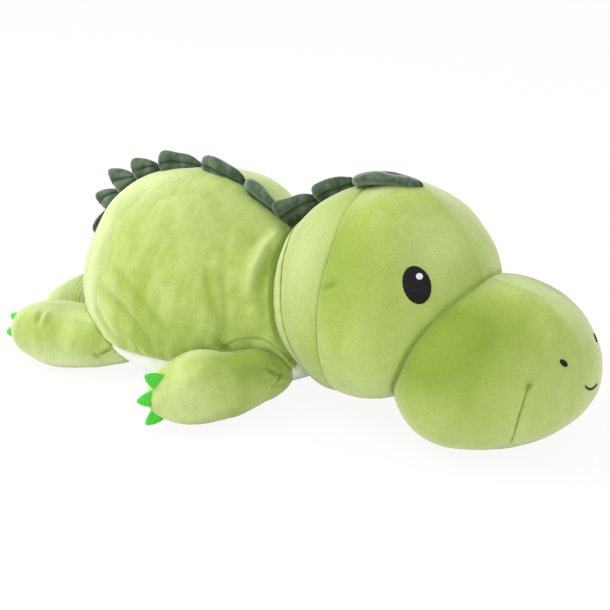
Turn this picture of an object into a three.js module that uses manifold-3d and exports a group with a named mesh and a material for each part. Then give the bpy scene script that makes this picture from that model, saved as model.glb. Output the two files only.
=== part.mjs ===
// Weighted plush dinosaur, lying flat on its belly.
//
// The frame is in millimetres, with +X towards the snout, +Y to the animal's left and +Z up.
// The origin is on the floor under the middle of the torso.
//
// Every soft form is a stuffed form: sections carried along a path, swollen between the stations
// that the tables name, and closed by round ends. The smaller forms are cut by the larger ones.
import * as THREE from 'three';
import { mergeVertices } from 'three/addons/utils/BufferGeometryUtils.js';
import Module from 'manifold-3d';

const wasm = await Module();
wasm.setup();

// Gaps and cloth
const seamGap = 0.3;
const runningGap = 0.6;
const coverThickness = 4;
const pressDepth = 0.5;

// Torso
const torsoLength = 329;
const torsoCentreHeight = 83;
const torsoHalfWidth = 116;
const torsoCrown = 110;
const torsoStationShares = [0, 0.25, 0.5, 0.75, 1];
const torsoWidthShares = [0.845, 1, 0.983, 0.862, 0.707];
const torsoCrownShares = [1.13, 1.09, 1, 0.7, 0.636];
const bellySeamHeight = 41;

// Weight bag, a pillow of lining cloth on the belly panel, filled with beads
const bagLength = 180;
const bagBack = 105;
const bagHalfWidth = 74;
const bagHalfHeight = 32;
const bagCloth = 1.5;
const bagMouthWidth = 60;
const bagMouthHeight = 5;

// Neck: an upright surface of revolution that the head's back is made to
const neckSink = 98;
const neckRadius = 95;
const neckHeight = 97;
const neckCrown = 112;
const neckDepth = 81;
const bandThickness = 4;
const bandFront = 51;
const bandWidth = 32;
const bandTilt = THREE.MathUtils.degToRad(16);
const nodRiseShare = 2 / 3;

// Head, from the seam of its back panel forward
const headLength = 216;
const headHalfWidth = 105;
const headCrown = 120.5;
const headChin = 82;
const headStationShares = [0, 0.2, 0.42, 0.7, 1];
const headWidthShares = [0.838, 0.876, 0.92, 1, 0.838];
const headCrownShares = [0.913, 0.921, 0.954, 1, 0.747];
const headChinShares = [0.83, 0.976, 1, 0.878, 0.732];
const headSeamShare = 0.412;

// Muzzle
const muzzleLength = 170.5;
const muzzleStart = 133;
const muzzleRise = 76;
const muzzleDrop = 23.5;
const muzzleHalfWidth = 102;
const muzzleCrown = 77;
const muzzleDepth = 68.7;
const muzzleStationShares = [0, 0.33, 0.67, 1];
const muzzleWidthShares = [0.98, 1, 0.98, 0.912];
const muzzleCrownShares = [0.87, 1, 1, 0.857];
const muzzleDepthShares = [0.96, 1, 0.882, 0.65];

// Face
const eyeWidth = 25;
const eyeHeight = 33.5;
const eyeThickness = 1.6;
const eyeTurn = THREE.MathUtils.degToRad(39.6);
const eyeLift = THREE.MathUtils.degToRad(25.8);
const eyeTilt = THREE.MathUtils.degToRad(8);
const glintWidth = 6.5;
const glintHeight = 6;
const glintThickness = 0.8;
const glintInShare = 0.15;
const glintUpShare = 0.19;
const nostrilWidth = 5;
const nostrilHeight = 8;
const nostrilThickness = 1.2;
const nostrilTurn = THREE.MathUtils.degToRad(24.5);
const nostrilLift = THREE.MathUtils.degToRad(19.2);
const nostrilTilt = THREE.MathUtils.degToRad(42);
const smileWidth = 20;
const smileDepth = 5;
const smileStroke = 2.4;
const smileThickness = 1.2;
const smileLift = THREE.MathUtils.degToRad(-1);

// Front flippers: shoulder, middle and paw, as shares of the torso's half width and length
const armHalfWidth = 36;
const armHeight = 66;
const armStationShares = [0, 0.5, 1];
const armForwardShares = [0.304, 0.173, 0.085];
const armOutShares = [0.414, 0.991, 1.397];
const armRiseShares = [0.62, 0.493, 0.4];
const armWidthShares = [1, 0.944, 1];
const armCrownShares = [0.53, 0.5, 0.424];
const armDepthShares = [0.53, 0.5, 0.45];
const armSwing = THREE.MathUtils.degToRad(12);

// Rear legs: hip, shin and foot
const legHalfWidth = 42;
const legHeight = 58;
const legStationShares = [0, 0.5, 1];
const legForwardShares = [-0.146, -0.429, -0.58];
const legOutShares = [0.569, 0.672, 0.914];
const legRiseShares = [0.647, 0.491, 0.681];
const legWidthShares = [1, 0.952, 0.976];
const legCrownShares = [0.483, 0.5, 0.552];
const legDepthShares = [0.483, 0.5, 0.552];
const legSwingIn = THREE.MathUtils.degToRad(6);
const legSwingOut = THREE.MathUtils.degToRad(10);

// Tail
const tailLength = 164;
const tailRoot = 76;
const tailRise = 75;
const tailDrop = 53.5;
const tailHalfWidth = 42;
const tailCrown = 46;
const tailStationShares = [0, 0.5, 1];
const tailWidthShares = [1, 0.8, 0.4];
const tailCrownShares = [1, 0.54, 0.37];
const tailDepthShares = [1, 0.98, 0.84];
const tailWag = THREE.MathUtils.degToRad(8);

// Head turn and nod
const headTurn = THREE.MathUtils.degToRad(15);
const headNod = THREE.MathUtils.degToRad(12);

// Crest, from the brow to the tail: where the lobes meet along the head, the neck and the torso,
// and each lobe's height and sideways lean
const crestHeight = 25;
const crestHalfThickness = 8;
const crestHeadShare = 0.64;
const crestNeckShares = [0.19, 0.8];
const crestTorsoShares = [0.672, 0.56, 0.41, 0.255, 0.155, 0.085, 0.036, 0.008];
const crestHeightShares = [0.96, 1, 1.04, 0.96, 0.72, 0.68, 0.8, 0.88, 0.68, 0.48];
const crestLeans = [-64, -42, -42, -42, -30, -8, 0, 0, 0, 0].map(THREE.MathUtils.degToRad);

// Claws, cut from felt and sewn in the upright seam of each paw
const clawLength = 17;
const clawWidth = 15;
const clawThickness = 3;
const clawShoulderShare = 0.66;
const clawFan = THREE.MathUtils.degToRad(33);
const footTurn = THREE.MathUtils.degToRad(184);
const footDroop = THREE.MathUtils.degToRad(10);

// Shapes of the sections and ends, without a unit
const roundPower = 2;
const crownPower = 1.88;
const bellyPower = 2.9;
const chinPower = 2.1;
const jawPower = 2.5;
const limbPower = 2.2;
const torsoEndPower = 0.48;
const headEndPower = 0.46;
const muzzleEndPower = 0.38;
const limbEndPower = 0.46;
const roundEndPower = 0.5;

// Counts of the meshes
const torsoRings = 22;
const torsoSides = 28;
const innerRings = 12;
const innerSides = 20;
const headRings = 20;
const headSides = 24;
const limbRings = 12;
const limbSides = 16;
const lobeRings = 7;
const lobeSides = 10;
const neckSides = 36;
const neckSteps = 16;
const outlineSteps = 9;
const swingSteps = 4;
const lobeSwingSteps = 16;
const petalSteps = 4;

// Every length that a cutting block has to run past
const span = 2 * (torsoLength + headLength);

const up = new THREE.Vector3(0, 0, 1);
const forward = new THREE.Vector3(1, 0, 0);

// Smooth curve through the values at the stations: a cubic between each pair, whose slope at a
// station is that of the line between its two neighbours.
function through(stations, values, t) {
  const last = stations.length - 1;
  let i = 0;
  while (i < last - 1 && t > stations[i + 1]) i += 1;
  const slope = (k) => {
    const a = Math.max(k - 1, 0);
    const b = Math.min(k + 1, last);
    return (values[b] - values[a]) / (stations[b] - stations[a]);
  };
  const h = stations[i + 1] - stations[i];
  const x = (t - stations[i]) / h;
  const x2 = x * x;
  const x3 = x2 * x;
  return (2 * x3 - 3 * x2 + 1) * values[i] + (x3 - 2 * x2 + x) * h * slope(i)
    + (3 * x2 - 2 * x3) * values[i + 1] + (x3 - x2) * h * slope(i + 1);
}

// Centre of a form's section, and the section's own axes: ahead, side and up
function sectionAt(form, t) {
  const at = (share) => new THREE.Vector3(...['x', 'y', 'z'].map(
    (axis) => through(form.stations, form.centres.map((c) => c[axis]), share)));
  const step = 1 / 1024;
  const ahead = at(Math.min(t + step, 1)).sub(at(Math.max(t - step, 0))).normalize();
  const side = new THREE.Vector3().crossVectors(up, ahead).normalize();
  return { centre: at(t), ahead, side, above: new THREE.Vector3().crossVectors(ahead, side) };
}

// Point on a stuffed form, at a share of its path and an angle round the section. The radii of the
// section shrink to nothing at both ends, as (4 t (1 - t)) to the end power. Grow moves the skin out.
function skinPoint(form, t, angle, grow = 0) {
  const { centre, ahead, side, above } = sectionAt(form, t);
  const swell = Math.pow(Math.max(4 * t * (1 - t), 0), form.endPower);
  const c = Math.cos(angle);
  const s = Math.sin(angle);
  const power = s >= 0 ? form.powerAbove : form.powerBelow;
  const bend = (v) => Math.sign(v) * Math.pow(Math.abs(v), 2 / power);
  const halfWidth = (through(form.stations, form.halfWidths, t) + grow) * swell;
  const reach = (through(form.stations, s >= 0 ? form.crowns : form.depths, t) + grow) * swell;
  return centre.addScaledVector(ahead, grow * (2 * t - 1))
    .addScaledVector(side, halfWidth * bend(c))
    .addScaledVector(above, reach * bend(s));
}

// Closed mesh of a stuffed form. Rings crowd towards the ends, where the skin curves most.
function stuffed(form, grow = 0, rings = form.rings, sides = form.sides) {
  const points = [skinPoint(form, 0, 0, grow)];
  for (let i = 1; i < rings; i += 1) {
    const t = (1 - Math.cos((Math.PI * i) / rings)) / 2;
    for (let j = 0; j < sides; j += 1) points.push(skinPoint(form, t, (2 * Math.PI * j) / sides, grow));
  }
  points.push(skinPoint(form, 1, 0, grow));
  return closedMesh(points, rings, sides);
}

// Mesh of rings between two poles, with its faces turned outwards
function closedMesh(points, rings, sides) {
  const last = points.length - 1;
  const at = (i, j) => 1 + (i - 1) * sides + (j % sides);
  const faces = [];
  for (let j = 0; j < sides; j += 1) {
    faces.push([0, at(1, j + 1), at(1, j)], [last, at(rings - 1, j), at(rings - 1, j + 1)]);
    for (let i = 1; i < rings - 1; i += 1) {
      faces.push([at(i, j), at(i, j + 1), at(i + 1, j + 1)], [at(i, j), at(i + 1, j + 1), at(i + 1, j)]);
    }
  }
  const cross = new THREE.Vector3();
  const volume = faces.reduce(
    (sum, [a, b, c]) => sum + cross.crossVectors(points[b], points[c]).dot(points[a]), 0);
  const geometry = new THREE.BufferGeometry().setFromPoints(points);
  geometry.setIndex((volume > 0 ? faces : faces.map(([a, b, c]) => [a, c, b])).flat());
  return geometry;
}

// Solid for cutting and joining, from a closed mesh
function solid(geometry) {
  const bare = geometry.clone();
  bare.deleteAttribute('normal');
  bare.deleteAttribute('uv');
  const merged = mergeVertices(bare);
  return new wasm.Manifold(new wasm.Mesh({
    numProp: 3,
    vertProperties: new Float32Array(merged.attributes.position.array),
    triVerts: new Uint32Array(merged.index.array),
  }));
}

// Everything on the far side of a plane, as a large block
function beyond(point, direction) {
  const block = new THREE.BoxGeometry(span, span, span);
  block.translate(0, 0, span / 2);
  block.applyQuaternion(new THREE.Quaternion().setFromUnitVectors(up, direction.clone().normalize()));
  block.translate(point.x, point.y, point.z);
  return solid(block);
}

// Copy of a mesh turned about a line through the pivot
function turned(geometry, pivot, axis, angle) {
  return geometry.clone().translate(-pivot.x, -pivot.y, -pivot.z)
    .applyQuaternion(new THREE.Quaternion().setFromAxisAngle(axis, angle))
    .translate(pivot.x, pivot.y, pivot.z);
}

// Room that a mesh takes up while it turns from one angle to another
function swept(geometry, pivot, axis, from, to, steps = swingSteps) {
  let room = solid(turned(geometry, pivot, axis, from));
  for (let i = 1; i <= steps; i += 1) {
    room = room.add(solid(turned(geometry, pivot, axis, from + ((to - from) * i) / steps)));
  }
  return room;
}

// First point of a stuffed form met from outside on a ray towards a point, and the skin's normal
function seatOn(geometry, target, direction) {
  const mesh = new THREE.Mesh(geometry, new THREE.MeshBasicMaterial());
  const start = target.clone().addScaledVector(direction, span);
  const ray = new THREE.Raycaster(start, direction.clone().negate());
  const hit = ray.intersectObject(mesh)[0];
  return { point: hit.point, normal: hit.face.normal.clone() };
}

const materials = {};
function finish(name, color, roughness) {
  materials[name] = new THREE.MeshStandardMaterial({ name, color, roughness, metalness: 0 });
}
finish('minky', 0xb8d66a, 0.9);
finish('belly', 0xf1f0ea, 0.95);
finish('crest', 0x6f8a6a, 0.85);
finish('felt', 0x5ad74b, 0.95);
finish('thread_dark', 0x28242a, 0.6);
finish('thread_white', 0xf4f4f6, 0.6);
finish('fibre', 0xf7f7f4, 1);
finish('lining', 0xd9d6cc, 0.95);
finish('beads', 0xc9d2d6, 0.4);

const toy = new THREE.Group();
const bodies = {};
for (const name of ['torso', 'neck', 'head', 'arm_right', 'arm_left', 'leg_right', 'leg_left', 'tail']) {
  bodies[name] = new THREE.Group();
  toy.add(bodies[name]);
}

// Put a finished solid into a body's group as a named mesh
function place(body, name, shape, material) {
  const { vertProperties, triVerts } = shape.getMesh();
  const geometry = new THREE.BufferGeometry();
  geometry.setAttribute('position', new THREE.BufferAttribute(new Float32Array(vertProperties), 3));
  geometry.setIndex(new THREE.BufferAttribute(new Uint32Array(triVerts), 1));
  geometry.computeVertexNormals();
  const mesh = new THREE.Mesh(geometry, materials[material]);
  mesh.name = name;
  bodies[body].add(mesh);
}

const scaled = (size, shares) => shares.map((share) => size * share);
const straight = (from, to, stations) => stations.map((share) => from.clone().lerp(to, share));
const floor = beyond(new THREE.Vector3(), up.clone().negate());

// Torso form. Its belly reaches the press depth below the floor and is cut flat there.
const torso = {
  stations: torsoStationShares,
  centres: straight(new THREE.Vector3(-torsoLength / 2, 0, torsoCentreHeight),
    new THREE.Vector3(torsoLength / 2, 0, torsoCentreHeight), torsoStationShares),
  halfWidths: scaled(torsoHalfWidth, torsoWidthShares),
  crowns: scaled(torsoCrown, torsoCrownShares),
  depths: torsoStationShares.map(() => torsoCentreHeight + pressDepth),
  powerAbove: crownPower, powerBelow: bellyPower, endPower: torsoEndPower,
  rings: torsoRings, sides: torsoSides,
};

// Neck socket: half ellipses of two heights turned about the upright line that the head turns on
const neckX = torsoLength / 2 - neckSink + neckRadius;
const neckPivot = new THREE.Vector3(neckX, 0, neckHeight);
function neckForm(grow) {
  const profile = [];
  for (let i = 0; i <= neckSteps; i += 1) {
    const angle = Math.PI * (i / neckSteps - 1 / 2);
    const reach = (angle > 0 ? neckCrown : neckDepth) + grow;
    const radius = i % neckSteps === 0 ? 0 : (neckRadius + grow) * Math.cos(angle);
    profile.push(new THREE.Vector2(radius, reach * Math.sin(angle)));
  }
  return new THREE.LatheGeometry(profile, neckSides).rotateX(Math.PI / 2)
    .translate(neckPivot.x, neckPivot.y, neckPivot.z);
}
const bandInner = runningGap;
const bandOuter = bandInner + bandThickness;
const socketGap = bandOuter + runningGap;

// Room inside the torso's skin, at a depth below it, and clear of the neck by the same depth
function roomIn(depth) {
  return solid(stuffed(torso, -depth, innerRings, innerSides)).subtract(solid(neckForm(socketGap + depth)));
}

// Torso cover and belly panel: one shell, parted at the belly seam and open at the neck
const shell = solid(stuffed(torso)).subtract(solid(stuffed(torso, -coverThickness, innerRings, innerSides)))
  .subtract(solid(neckForm(socketGap))).subtract(floor);
const seamBelow = new THREE.Vector3(0, 0, bellySeamHeight - seamGap / 2);
const seamAbove = new THREE.Vector3(0, 0, bellySeamHeight + seamGap / 2);
place('torso', 'torso_cover', shell.subtract(beyond(seamAbove, up.clone().negate())), 'minky');
place('torso', 'belly_panel', shell.subtract(beyond(seamBelow, up)), 'belly');

// Weight bag, bead charge and the fibre fill round them
const lining = coverThickness - pressDepth + seamGap;
const bagHeight = lining + bagHalfHeight;
const ends = [0, 1];
const bag = {
  stations: ends,
  centres: straight(new THREE.Vector3(-bagBack, 0, bagHeight),
    new THREE.Vector3(bagLength - bagBack, 0, bagHeight), ends),
  halfWidths: ends.map(() => bagHalfWidth),
  crowns: ends.map(() => bagHalfHeight),
  depths: ends.map(() => bagHalfHeight),
  powerAbove: limbPower, powerBelow: limbPower, endPower: roundEndPower,
  rings: innerRings, sides: innerSides,
};
const mouth = new THREE.BoxGeometry(bagLength / 2, bagMouthWidth, bagMouthHeight)
  .translate(-bagBack, 0, bagHeight);
const bagRoom = coverThickness + 2 * seamGap;
const inBag = solid(stuffed(bag, -bagCloth)).intersect(roomIn(bagRoom + bagCloth));
place('torso', 'weight_bag', solid(stuffed(bag)).intersect(roomIn(bagRoom)).subtract(inBag)
  .subtract(solid(mouth)), 'lining');
place('torso', 'bead_charge',
  solid(stuffed(bag, -bagCloth - seamGap)).intersect(roomIn(bagRoom + bagCloth + seamGap)), 'beads');
const pocket = stuffed(bag, seamGap);
place('torso', 'fibre_fill', roomIn(coverThickness + seamGap).subtract(solid(pocket))
  .subtract(solid(pocket.clone().translate(0, 0, -bagHalfHeight))), 'fibre');

// Neck band: the ring of the neck surface between two tilted planes
const bandAxis = new THREE.Vector3(Math.cos(bandTilt), 0, Math.sin(bandTilt));
const bandFrontPoint = new THREE.Vector3(neckX - bandFront, 0, neckHeight);
const bandRearPoint = new THREE.Vector3(neckX - bandFront - bandWidth, 0, neckHeight);
place('neck', 'neck_band', solid(neckForm(bandOuter)).subtract(solid(neckForm(bandInner)))
  .subtract(beyond(bandFrontPoint, bandAxis)).subtract(beyond(bandRearPoint, bandAxis.clone().negate())),
'minky');

// Head back panel is the neck surface itself, and the face carries on from its seam
const headRear = neckX - neckRadius;
const head = {
  stations: headStationShares,
  centres: straight(new THREE.Vector3(headRear, 0, neckHeight),
    new THREE.Vector3(headRear + headLength, 0, neckHeight), headStationShares),
  halfWidths: scaled(headHalfWidth, headWidthShares),
  crowns: scaled(headCrown, headCrownShares),
  depths: scaled(headChin, headChinShares),
  powerAbove: roundPower, powerBelow: chinPower, endPower: headEndPower,
  rings: headRings, sides: headSides,
};
const headSeam = headRear + headLength * headSeamShare;
const seamBehind = new THREE.Vector3(headSeam - seamGap / 2, 0, neckHeight);
const seamAhead = new THREE.Vector3(headSeam + seamGap / 2, 0, neckHeight);
const headBack = solid(neckForm(0)).subtract(beyond(seamBehind, forward));
const face = solid(stuffed(head)).subtract(beyond(seamAhead, forward.clone().negate()));
place('head', 'head_back', headBack, 'minky');
place('head', 'head', face, 'minky');

// Muzzle: rests on the floor, and its back is cut to the face
const muzzleEnd = new THREE.Vector3(headRear + muzzleStart + muzzleLength, 0, muzzleRise - muzzleDrop);
const muzzle = {
  stations: muzzleStationShares,
  centres: straight(new THREE.Vector3(headRear + muzzleStart, 0, muzzleRise), muzzleEnd, muzzleStationShares),
  halfWidths: scaled(muzzleHalfWidth, muzzleWidthShares),
  crowns: scaled(muzzleCrown, muzzleCrownShares),
  depths: scaled(muzzleDepth, muzzleDepthShares),
  powerAbove: roundPower, powerBelow: jawPower, endPower: muzzleEndPower,
  rings: headRings, sides: headSides,
};
place('head', 'muzzle', solid(stuffed(muzzle)).subtract(solid(stuffed(head, seamGap))).subtract(floor), 'minky');

// Thin patch of thread on a form: the skin between two growths, inside an outline on the seat
function patch(form, seat, outline, tilt, from, thickness) {
  const depth = form.halfWidths[0] / 2;
  const side = new THREE.Vector3().crossVectors(up, seat.normal).normalize();
  const above = new THREE.Vector3().crossVectors(seat.normal, side);
  const prism = new THREE.ExtrudeGeometry(outline, { depth, bevelEnabled: false, curveSegments: outlineSteps })
    .translate(0, 0, -depth / 2)
    .rotateZ(tilt)
    .applyMatrix4(new THREE.Matrix4().makeBasis(side, above, seat.normal))
    .translate(seat.point.x, seat.point.y, seat.point.z);
  return solid(stuffed(form, from + thickness)).subtract(solid(stuffed(form, from))).intersect(solid(prism));
}

function oval(width, height, x = 0, y = 0) {
  return new THREE.Shape().absellipse(x, y, width / 2, height / 2, 0, 2 * Math.PI);
}

// Direction of a feature, turned to one side of the snout's line and lifted
function lookTo(turn, lift) {
  return new THREE.Vector3(Math.cos(lift) * Math.cos(turn), Math.cos(lift) * Math.sin(turn), Math.sin(lift));
}

const sides = { right: -1, left: 1 };
const eyeTarget = new THREE.Vector3(headSeam, 0, neckHeight);
const snoutTarget = new THREE.Vector3(headRear + muzzleStart + muzzleLength / 2, 0, muzzleRise - muzzleDrop / 2);
for (const [name, sign] of Object.entries(sides)) {
  const eyeSeat = seatOn(stuffed(head), eyeTarget, lookTo(sign * eyeTurn, eyeLift));
  const tilt = -sign * eyeTilt;
  place('head', `eye_${name}`,
    patch(head, eyeSeat, oval(eyeWidth, eyeHeight), tilt, seamGap, eyeThickness), 'thread_dark');
  const glint = oval(glintWidth, glintHeight, -sign * eyeWidth * glintInShare, eyeHeight * glintUpShare);
  place('head', `eye_glint_${name}`,
    patch(head, eyeSeat, glint, tilt, seamGap + eyeThickness + seamGap, glintThickness), 'thread_white');
  const nostrilSeat = seatOn(stuffed(muzzle), snoutTarget, lookTo(sign * nostrilTurn, nostrilLift));
  place('head', `nostril_${name}`, patch(muzzle, nostrilSeat, oval(nostrilWidth, nostrilHeight),
    -sign * nostrilTilt, seamGap, nostrilThickness), 'thread_dark');
}

// Smile: a stroke of even width along an arc that hangs between its two corners
const smileRadius = (smileWidth * smileWidth / 4 + smileDepth * smileDepth) / (2 * smileDepth);
const smileSpread = Math.asin(smileWidth / 2 / smileRadius);
const smileShape = new THREE.Shape()
  .absarc(0, smileRadius, smileRadius + smileStroke / 2, -Math.PI / 2 - smileSpread,
    -Math.PI / 2 + smileSpread, false)
  .absarc(0, smileRadius, smileRadius - smileStroke / 2, -Math.PI / 2 + smileSpread,
    -Math.PI / 2 - smileSpread, true);
smileShape.closePath();
const smileSeat = seatOn(stuffed(muzzle), snoutTarget, lookTo(0, smileLift));
place('head', 'smile', patch(muzzle, smileSeat, smileShape, 0, seamGap, smileThickness), 'thread_dark');

// Limbs: the path of each is in shares of the torso and of its own height
function limbForm(sign, size, shares, power) {
  const centres = shares.stations.map((_, i) => new THREE.Vector3(
    torsoLength * shares.forward[i], sign * torsoHalfWidth * shares.out[i], size.height * shares.rise[i]));
  return {
    stations: shares.stations,
    centres,
    halfWidths: scaled(size.halfWidth, shares.widths),
    crowns: scaled(size.height, shares.crowns),
    depths: scaled(size.height, shares.depths).map((depth, i) => (i === 1 ? centres[i].z + pressDepth : depth)),
    powerAbove: power, powerBelow: power, endPower: limbEndPower,
    rings: limbRings, sides: limbSides,
  };
}

// Felt claw, a petal standing in the upright plane of the paw, cut where it enters the paw
function claw(pawMesh, pawSolid, centre, direction) {
  const seat = seatOn(pawMesh, centre, direction);
  const flat = new THREE.Vector3(direction.x, direction.y, 0).normalize();
  const across = new THREE.Vector3().crossVectors(up, flat);
  const shoulder = clawLength * clawShoulderShare;
  const petal = new THREE.Shape().moveTo(0, clawWidth / 2)
    .quadraticCurveTo(shoulder, clawWidth / 2, clawLength, 0)
    .quadraticCurveTo(shoulder, -clawWidth / 2, 0, -clawWidth / 2)
    .lineTo(-clawLength / 2, -clawWidth / 2)
    .lineTo(-clawLength / 2, clawWidth / 2);
  const sheet = new THREE.ExtrudeGeometry(petal, {
    depth: clawThickness, bevelEnabled: false, curveSegments: petalSteps,
  }).translate(0, 0, -clawThickness / 2).applyMatrix4(new THREE.Matrix4().makeBasis(
    direction, new THREE.Vector3().crossVectors(across, direction), across))
    .translate(seat.point.x, seat.point.y, seat.point.z);
  return solid(sheet).subtract(pawSolid).subtract(floor);
}

const torsoCutter = stuffed(torso, seamGap);
const headCutter = solid(neckForm(socketGap)).add(
  swept(stuffed(head, runningGap), neckPivot, up, -headTurn, headTurn));

// Paw with its three claws: the limb is cut by the torso in every place that its swing brings it to
function limb(body, form, root, swings, clawTurn, clawDroop, clearOf) {
  const room = swept(torsoCutter, root, up, -swings[1], -swings[0]);
  place(body, body, solid(stuffed(form)).subtract(room).subtract(clearOf).subtract(floor), 'minky');
  const pawMesh = stuffed(form);
  const pawSolid = solid(stuffed(form, seamGap));
  const paw = sectionAt(form, 1 - form.halfWidths[2] / form.centres[0].distanceTo(form.centres[2])).centre;
  [-clawFan, 0, clawFan].forEach((fan, i) => {
    const direction = lookTo(clawTurn, fan - clawDroop);
    place(body, `${body}_claw_${i + 1}`, claw(pawMesh, pawSolid, paw, direction), 'felt');
  });
}

const nothing = solid(new THREE.BoxGeometry(seamGap, seamGap, seamGap).translate(0, 0, -span));
for (const [name, sign] of Object.entries(sides)) {
  const arm = limbForm(sign, { halfWidth: armHalfWidth, height: armHeight }, {
    stations: armStationShares, forward: armForwardShares, out: armOutShares, rise: armRiseShares,
    widths: armWidthShares, crowns: armCrownShares, depths: armDepthShares,
  }, limbPower);
  const shoulder = arm.centres[0].clone().lerp(arm.centres[1], 1 / 2);
  const reach = arm.centres[2].clone().sub(arm.centres[1]);
  limb(`arm_${name}`, arm, shoulder, [-armSwing, armSwing], Math.atan2(reach.y, reach.x), 0, headCutter);

  const leg = limbForm(sign, { halfWidth: legHalfWidth, height: legHeight }, {
    stations: legStationShares, forward: legForwardShares, out: legOutShares, rise: legRiseShares,
    widths: legWidthShares, crowns: legCrownShares, depths: legDepthShares,
  }, limbPower);
  const hip = leg.centres[0].clone().lerp(leg.centres[1], 1 / 2);
  const legSwings = [-legSwingIn, legSwingOut].map((swing) => -sign * swing);
  limb(`leg_${name}`, leg, hip, legSwings, sign * footTurn, footDroop, nothing);
}

// Tail: a cone of cloth that lies on the floor behind
const tail = {
  stations: tailStationShares,
  centres: straight(new THREE.Vector3(-tailRoot, 0, tailRise),
    new THREE.Vector3(-tailRoot - tailLength, 0, tailRise - tailDrop), tailStationShares),
  halfWidths: scaled(tailHalfWidth, tailWidthShares),
  crowns: scaled(tailCrown, tailCrownShares),
  depths: scaled(tailCrown, tailDepthShares),
  powerAbove: roundPower, powerBelow: roundPower, endPower: roundEndPower,
  rings: limbRings, sides: limbSides,
};
const tailPivot = new THREE.Vector3(-torsoLength / 2, 0, tailRise);
place('tail', 'tail', solid(stuffed(tail)).subtract(swept(torsoCutter, tailPivot, up, -tailWag, tailWag))
  .subtract(floor), 'minky');

// Spine: points of the middle line of the back where two lobes meet
const nodRise = neckCrown * nodRiseShare;
const nodX = neckX - bandFront - nodRise * Math.tan(bandTilt);
function neckTop(share) {
  const x = headSeam + (nodX - headSeam) * share;
  const fall = (neckX - x) / neckRadius;
  return new THREE.Vector3(x, 0, neckHeight + neckCrown * Math.sqrt(1 - fall * fall));
}
const spine = [
  skinPoint(head, crestHeadShare, Math.PI / 2),
  ...crestNeckShares.map(neckTop),
  ...crestTorsoShares.map((share) => skinPoint(torso, share, Math.PI / 2)),
];

// Crest lobe: a small padded form that stands on the spine between two points and leans to one side
function lobeMesh(i, grow = 0) {
  const chord = spine[i + 1].clone().sub(spine[i]);
  const reach = chord.length() / 2 - seamGap / 2;
  const height = crestHeight * crestHeightShares[i];
  const run = chord.normalize();
  const rise = new THREE.Vector3().crossVectors(new THREE.Vector3(0, 1, 0), run);
  const lobe = {
    stations: ends,
    centres: [new THREE.Vector3(-reach, 0, 0), new THREE.Vector3(reach, 0, 0)],
    halfWidths: ends.map(() => crestHalfThickness),
    crowns: ends.map(() => height),
    depths: ends.map(() => crestHalfThickness),
    powerAbove: roundPower, powerBelow: roundPower, endPower: roundEndPower,
    rings: lobeRings, sides: lobeSides,
  };
  const middle = spine[i].clone().lerp(spine[i + 1], 1 / 2);
  return stuffed(lobe, grow).rotateX(crestLeans[i])
    .applyMatrix4(new THREE.Matrix4().makeBasis(run, new THREE.Vector3().crossVectors(rise, run), rise))
    .translate(middle.x, middle.y, middle.z);
}

// The lobes are cut below by what they stand on. The one on the neck also keeps clear of the head
// as it nods, and of the first lobe of the back as the neck turns.
const headNodPivot = new THREE.Vector3(nodX, 0, neckHeight + nodRise);
const nodAxis = new THREE.Vector3(0, -1, 0);
const faceCutter = solid(stuffed(head, seamGap)).subtract(beyond(seamBehind, forward.clone().negate()));
const backCutter = solid(neckForm(seamGap)).subtract(beyond(seamAhead, forward));
const lobesOnHead = crestNeckShares.length;
crestHeightShares.forEach((_, i) => {
  const onHead = i < lobesOnHead;
  const onNeck = i === lobesOnHead;
  let shape = solid(lobeMesh(i)).subtract(solid(torsoCutter));
  if (onHead) shape = shape.subtract(backCutter).subtract(faceCutter);
  else shape = shape.subtract(solid(neckForm(bandOuter + seamGap)));
  if (onNeck) {
    shape = shape.subtract(swept(neckForm(runningGap), headNodPivot, nodAxis, 0, headNod))
      .subtract(swept(lobeMesh(i + 1, 2 * seamGap), neckPivot, up, -headTurn, headTurn, lobeSwingSteps));
  }
  place(onHead ? 'head' : onNeck ? 'neck' : 'torso', `crest_lobe_${String(i + 1).padStart(2, '0')}`,
    shape, 'crest');
});

export default toy;
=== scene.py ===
# %% [markdown]
# # A weighted plush dinosaur
#
# The toy lies flat on its belly: an egg of a body, a big head with a broad muzzle, a crest of padded
# lobes, two flippers, two short legs and a tail. Every part of it is a closed cloth skin stuffed with
# fibre, so every part is drawn here in the same way: as a surface of two parameters, one along the
# part and one round it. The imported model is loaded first, because it fixes the places of all pieces.

# %% Load the frame
import math
import bpy
import numpy as np
from mathutils import Matrix, Vector


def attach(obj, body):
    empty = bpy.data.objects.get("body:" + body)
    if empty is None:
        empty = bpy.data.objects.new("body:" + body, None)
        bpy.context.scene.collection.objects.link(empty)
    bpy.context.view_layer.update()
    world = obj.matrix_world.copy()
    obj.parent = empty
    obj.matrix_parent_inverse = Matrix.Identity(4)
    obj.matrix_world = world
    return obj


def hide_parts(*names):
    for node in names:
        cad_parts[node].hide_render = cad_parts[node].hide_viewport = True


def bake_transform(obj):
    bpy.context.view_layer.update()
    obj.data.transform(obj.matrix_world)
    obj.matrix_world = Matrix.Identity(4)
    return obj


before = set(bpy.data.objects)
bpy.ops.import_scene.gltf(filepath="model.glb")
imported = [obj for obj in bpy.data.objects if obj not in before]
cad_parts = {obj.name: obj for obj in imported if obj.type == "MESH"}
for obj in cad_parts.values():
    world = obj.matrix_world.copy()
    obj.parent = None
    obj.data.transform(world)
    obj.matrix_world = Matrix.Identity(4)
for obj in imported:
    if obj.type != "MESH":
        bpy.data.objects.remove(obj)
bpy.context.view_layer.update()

# %% [markdown]
# ## The camera
#
# The toy is seen from its right, a little above it. A long lens from well away keeps the muzzle from
# swelling towards us. The camera's place is worked out from a target point, two angles and a distance,
# and its own three axes go into a matrix, so nothing has to be aimed by hand.

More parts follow.
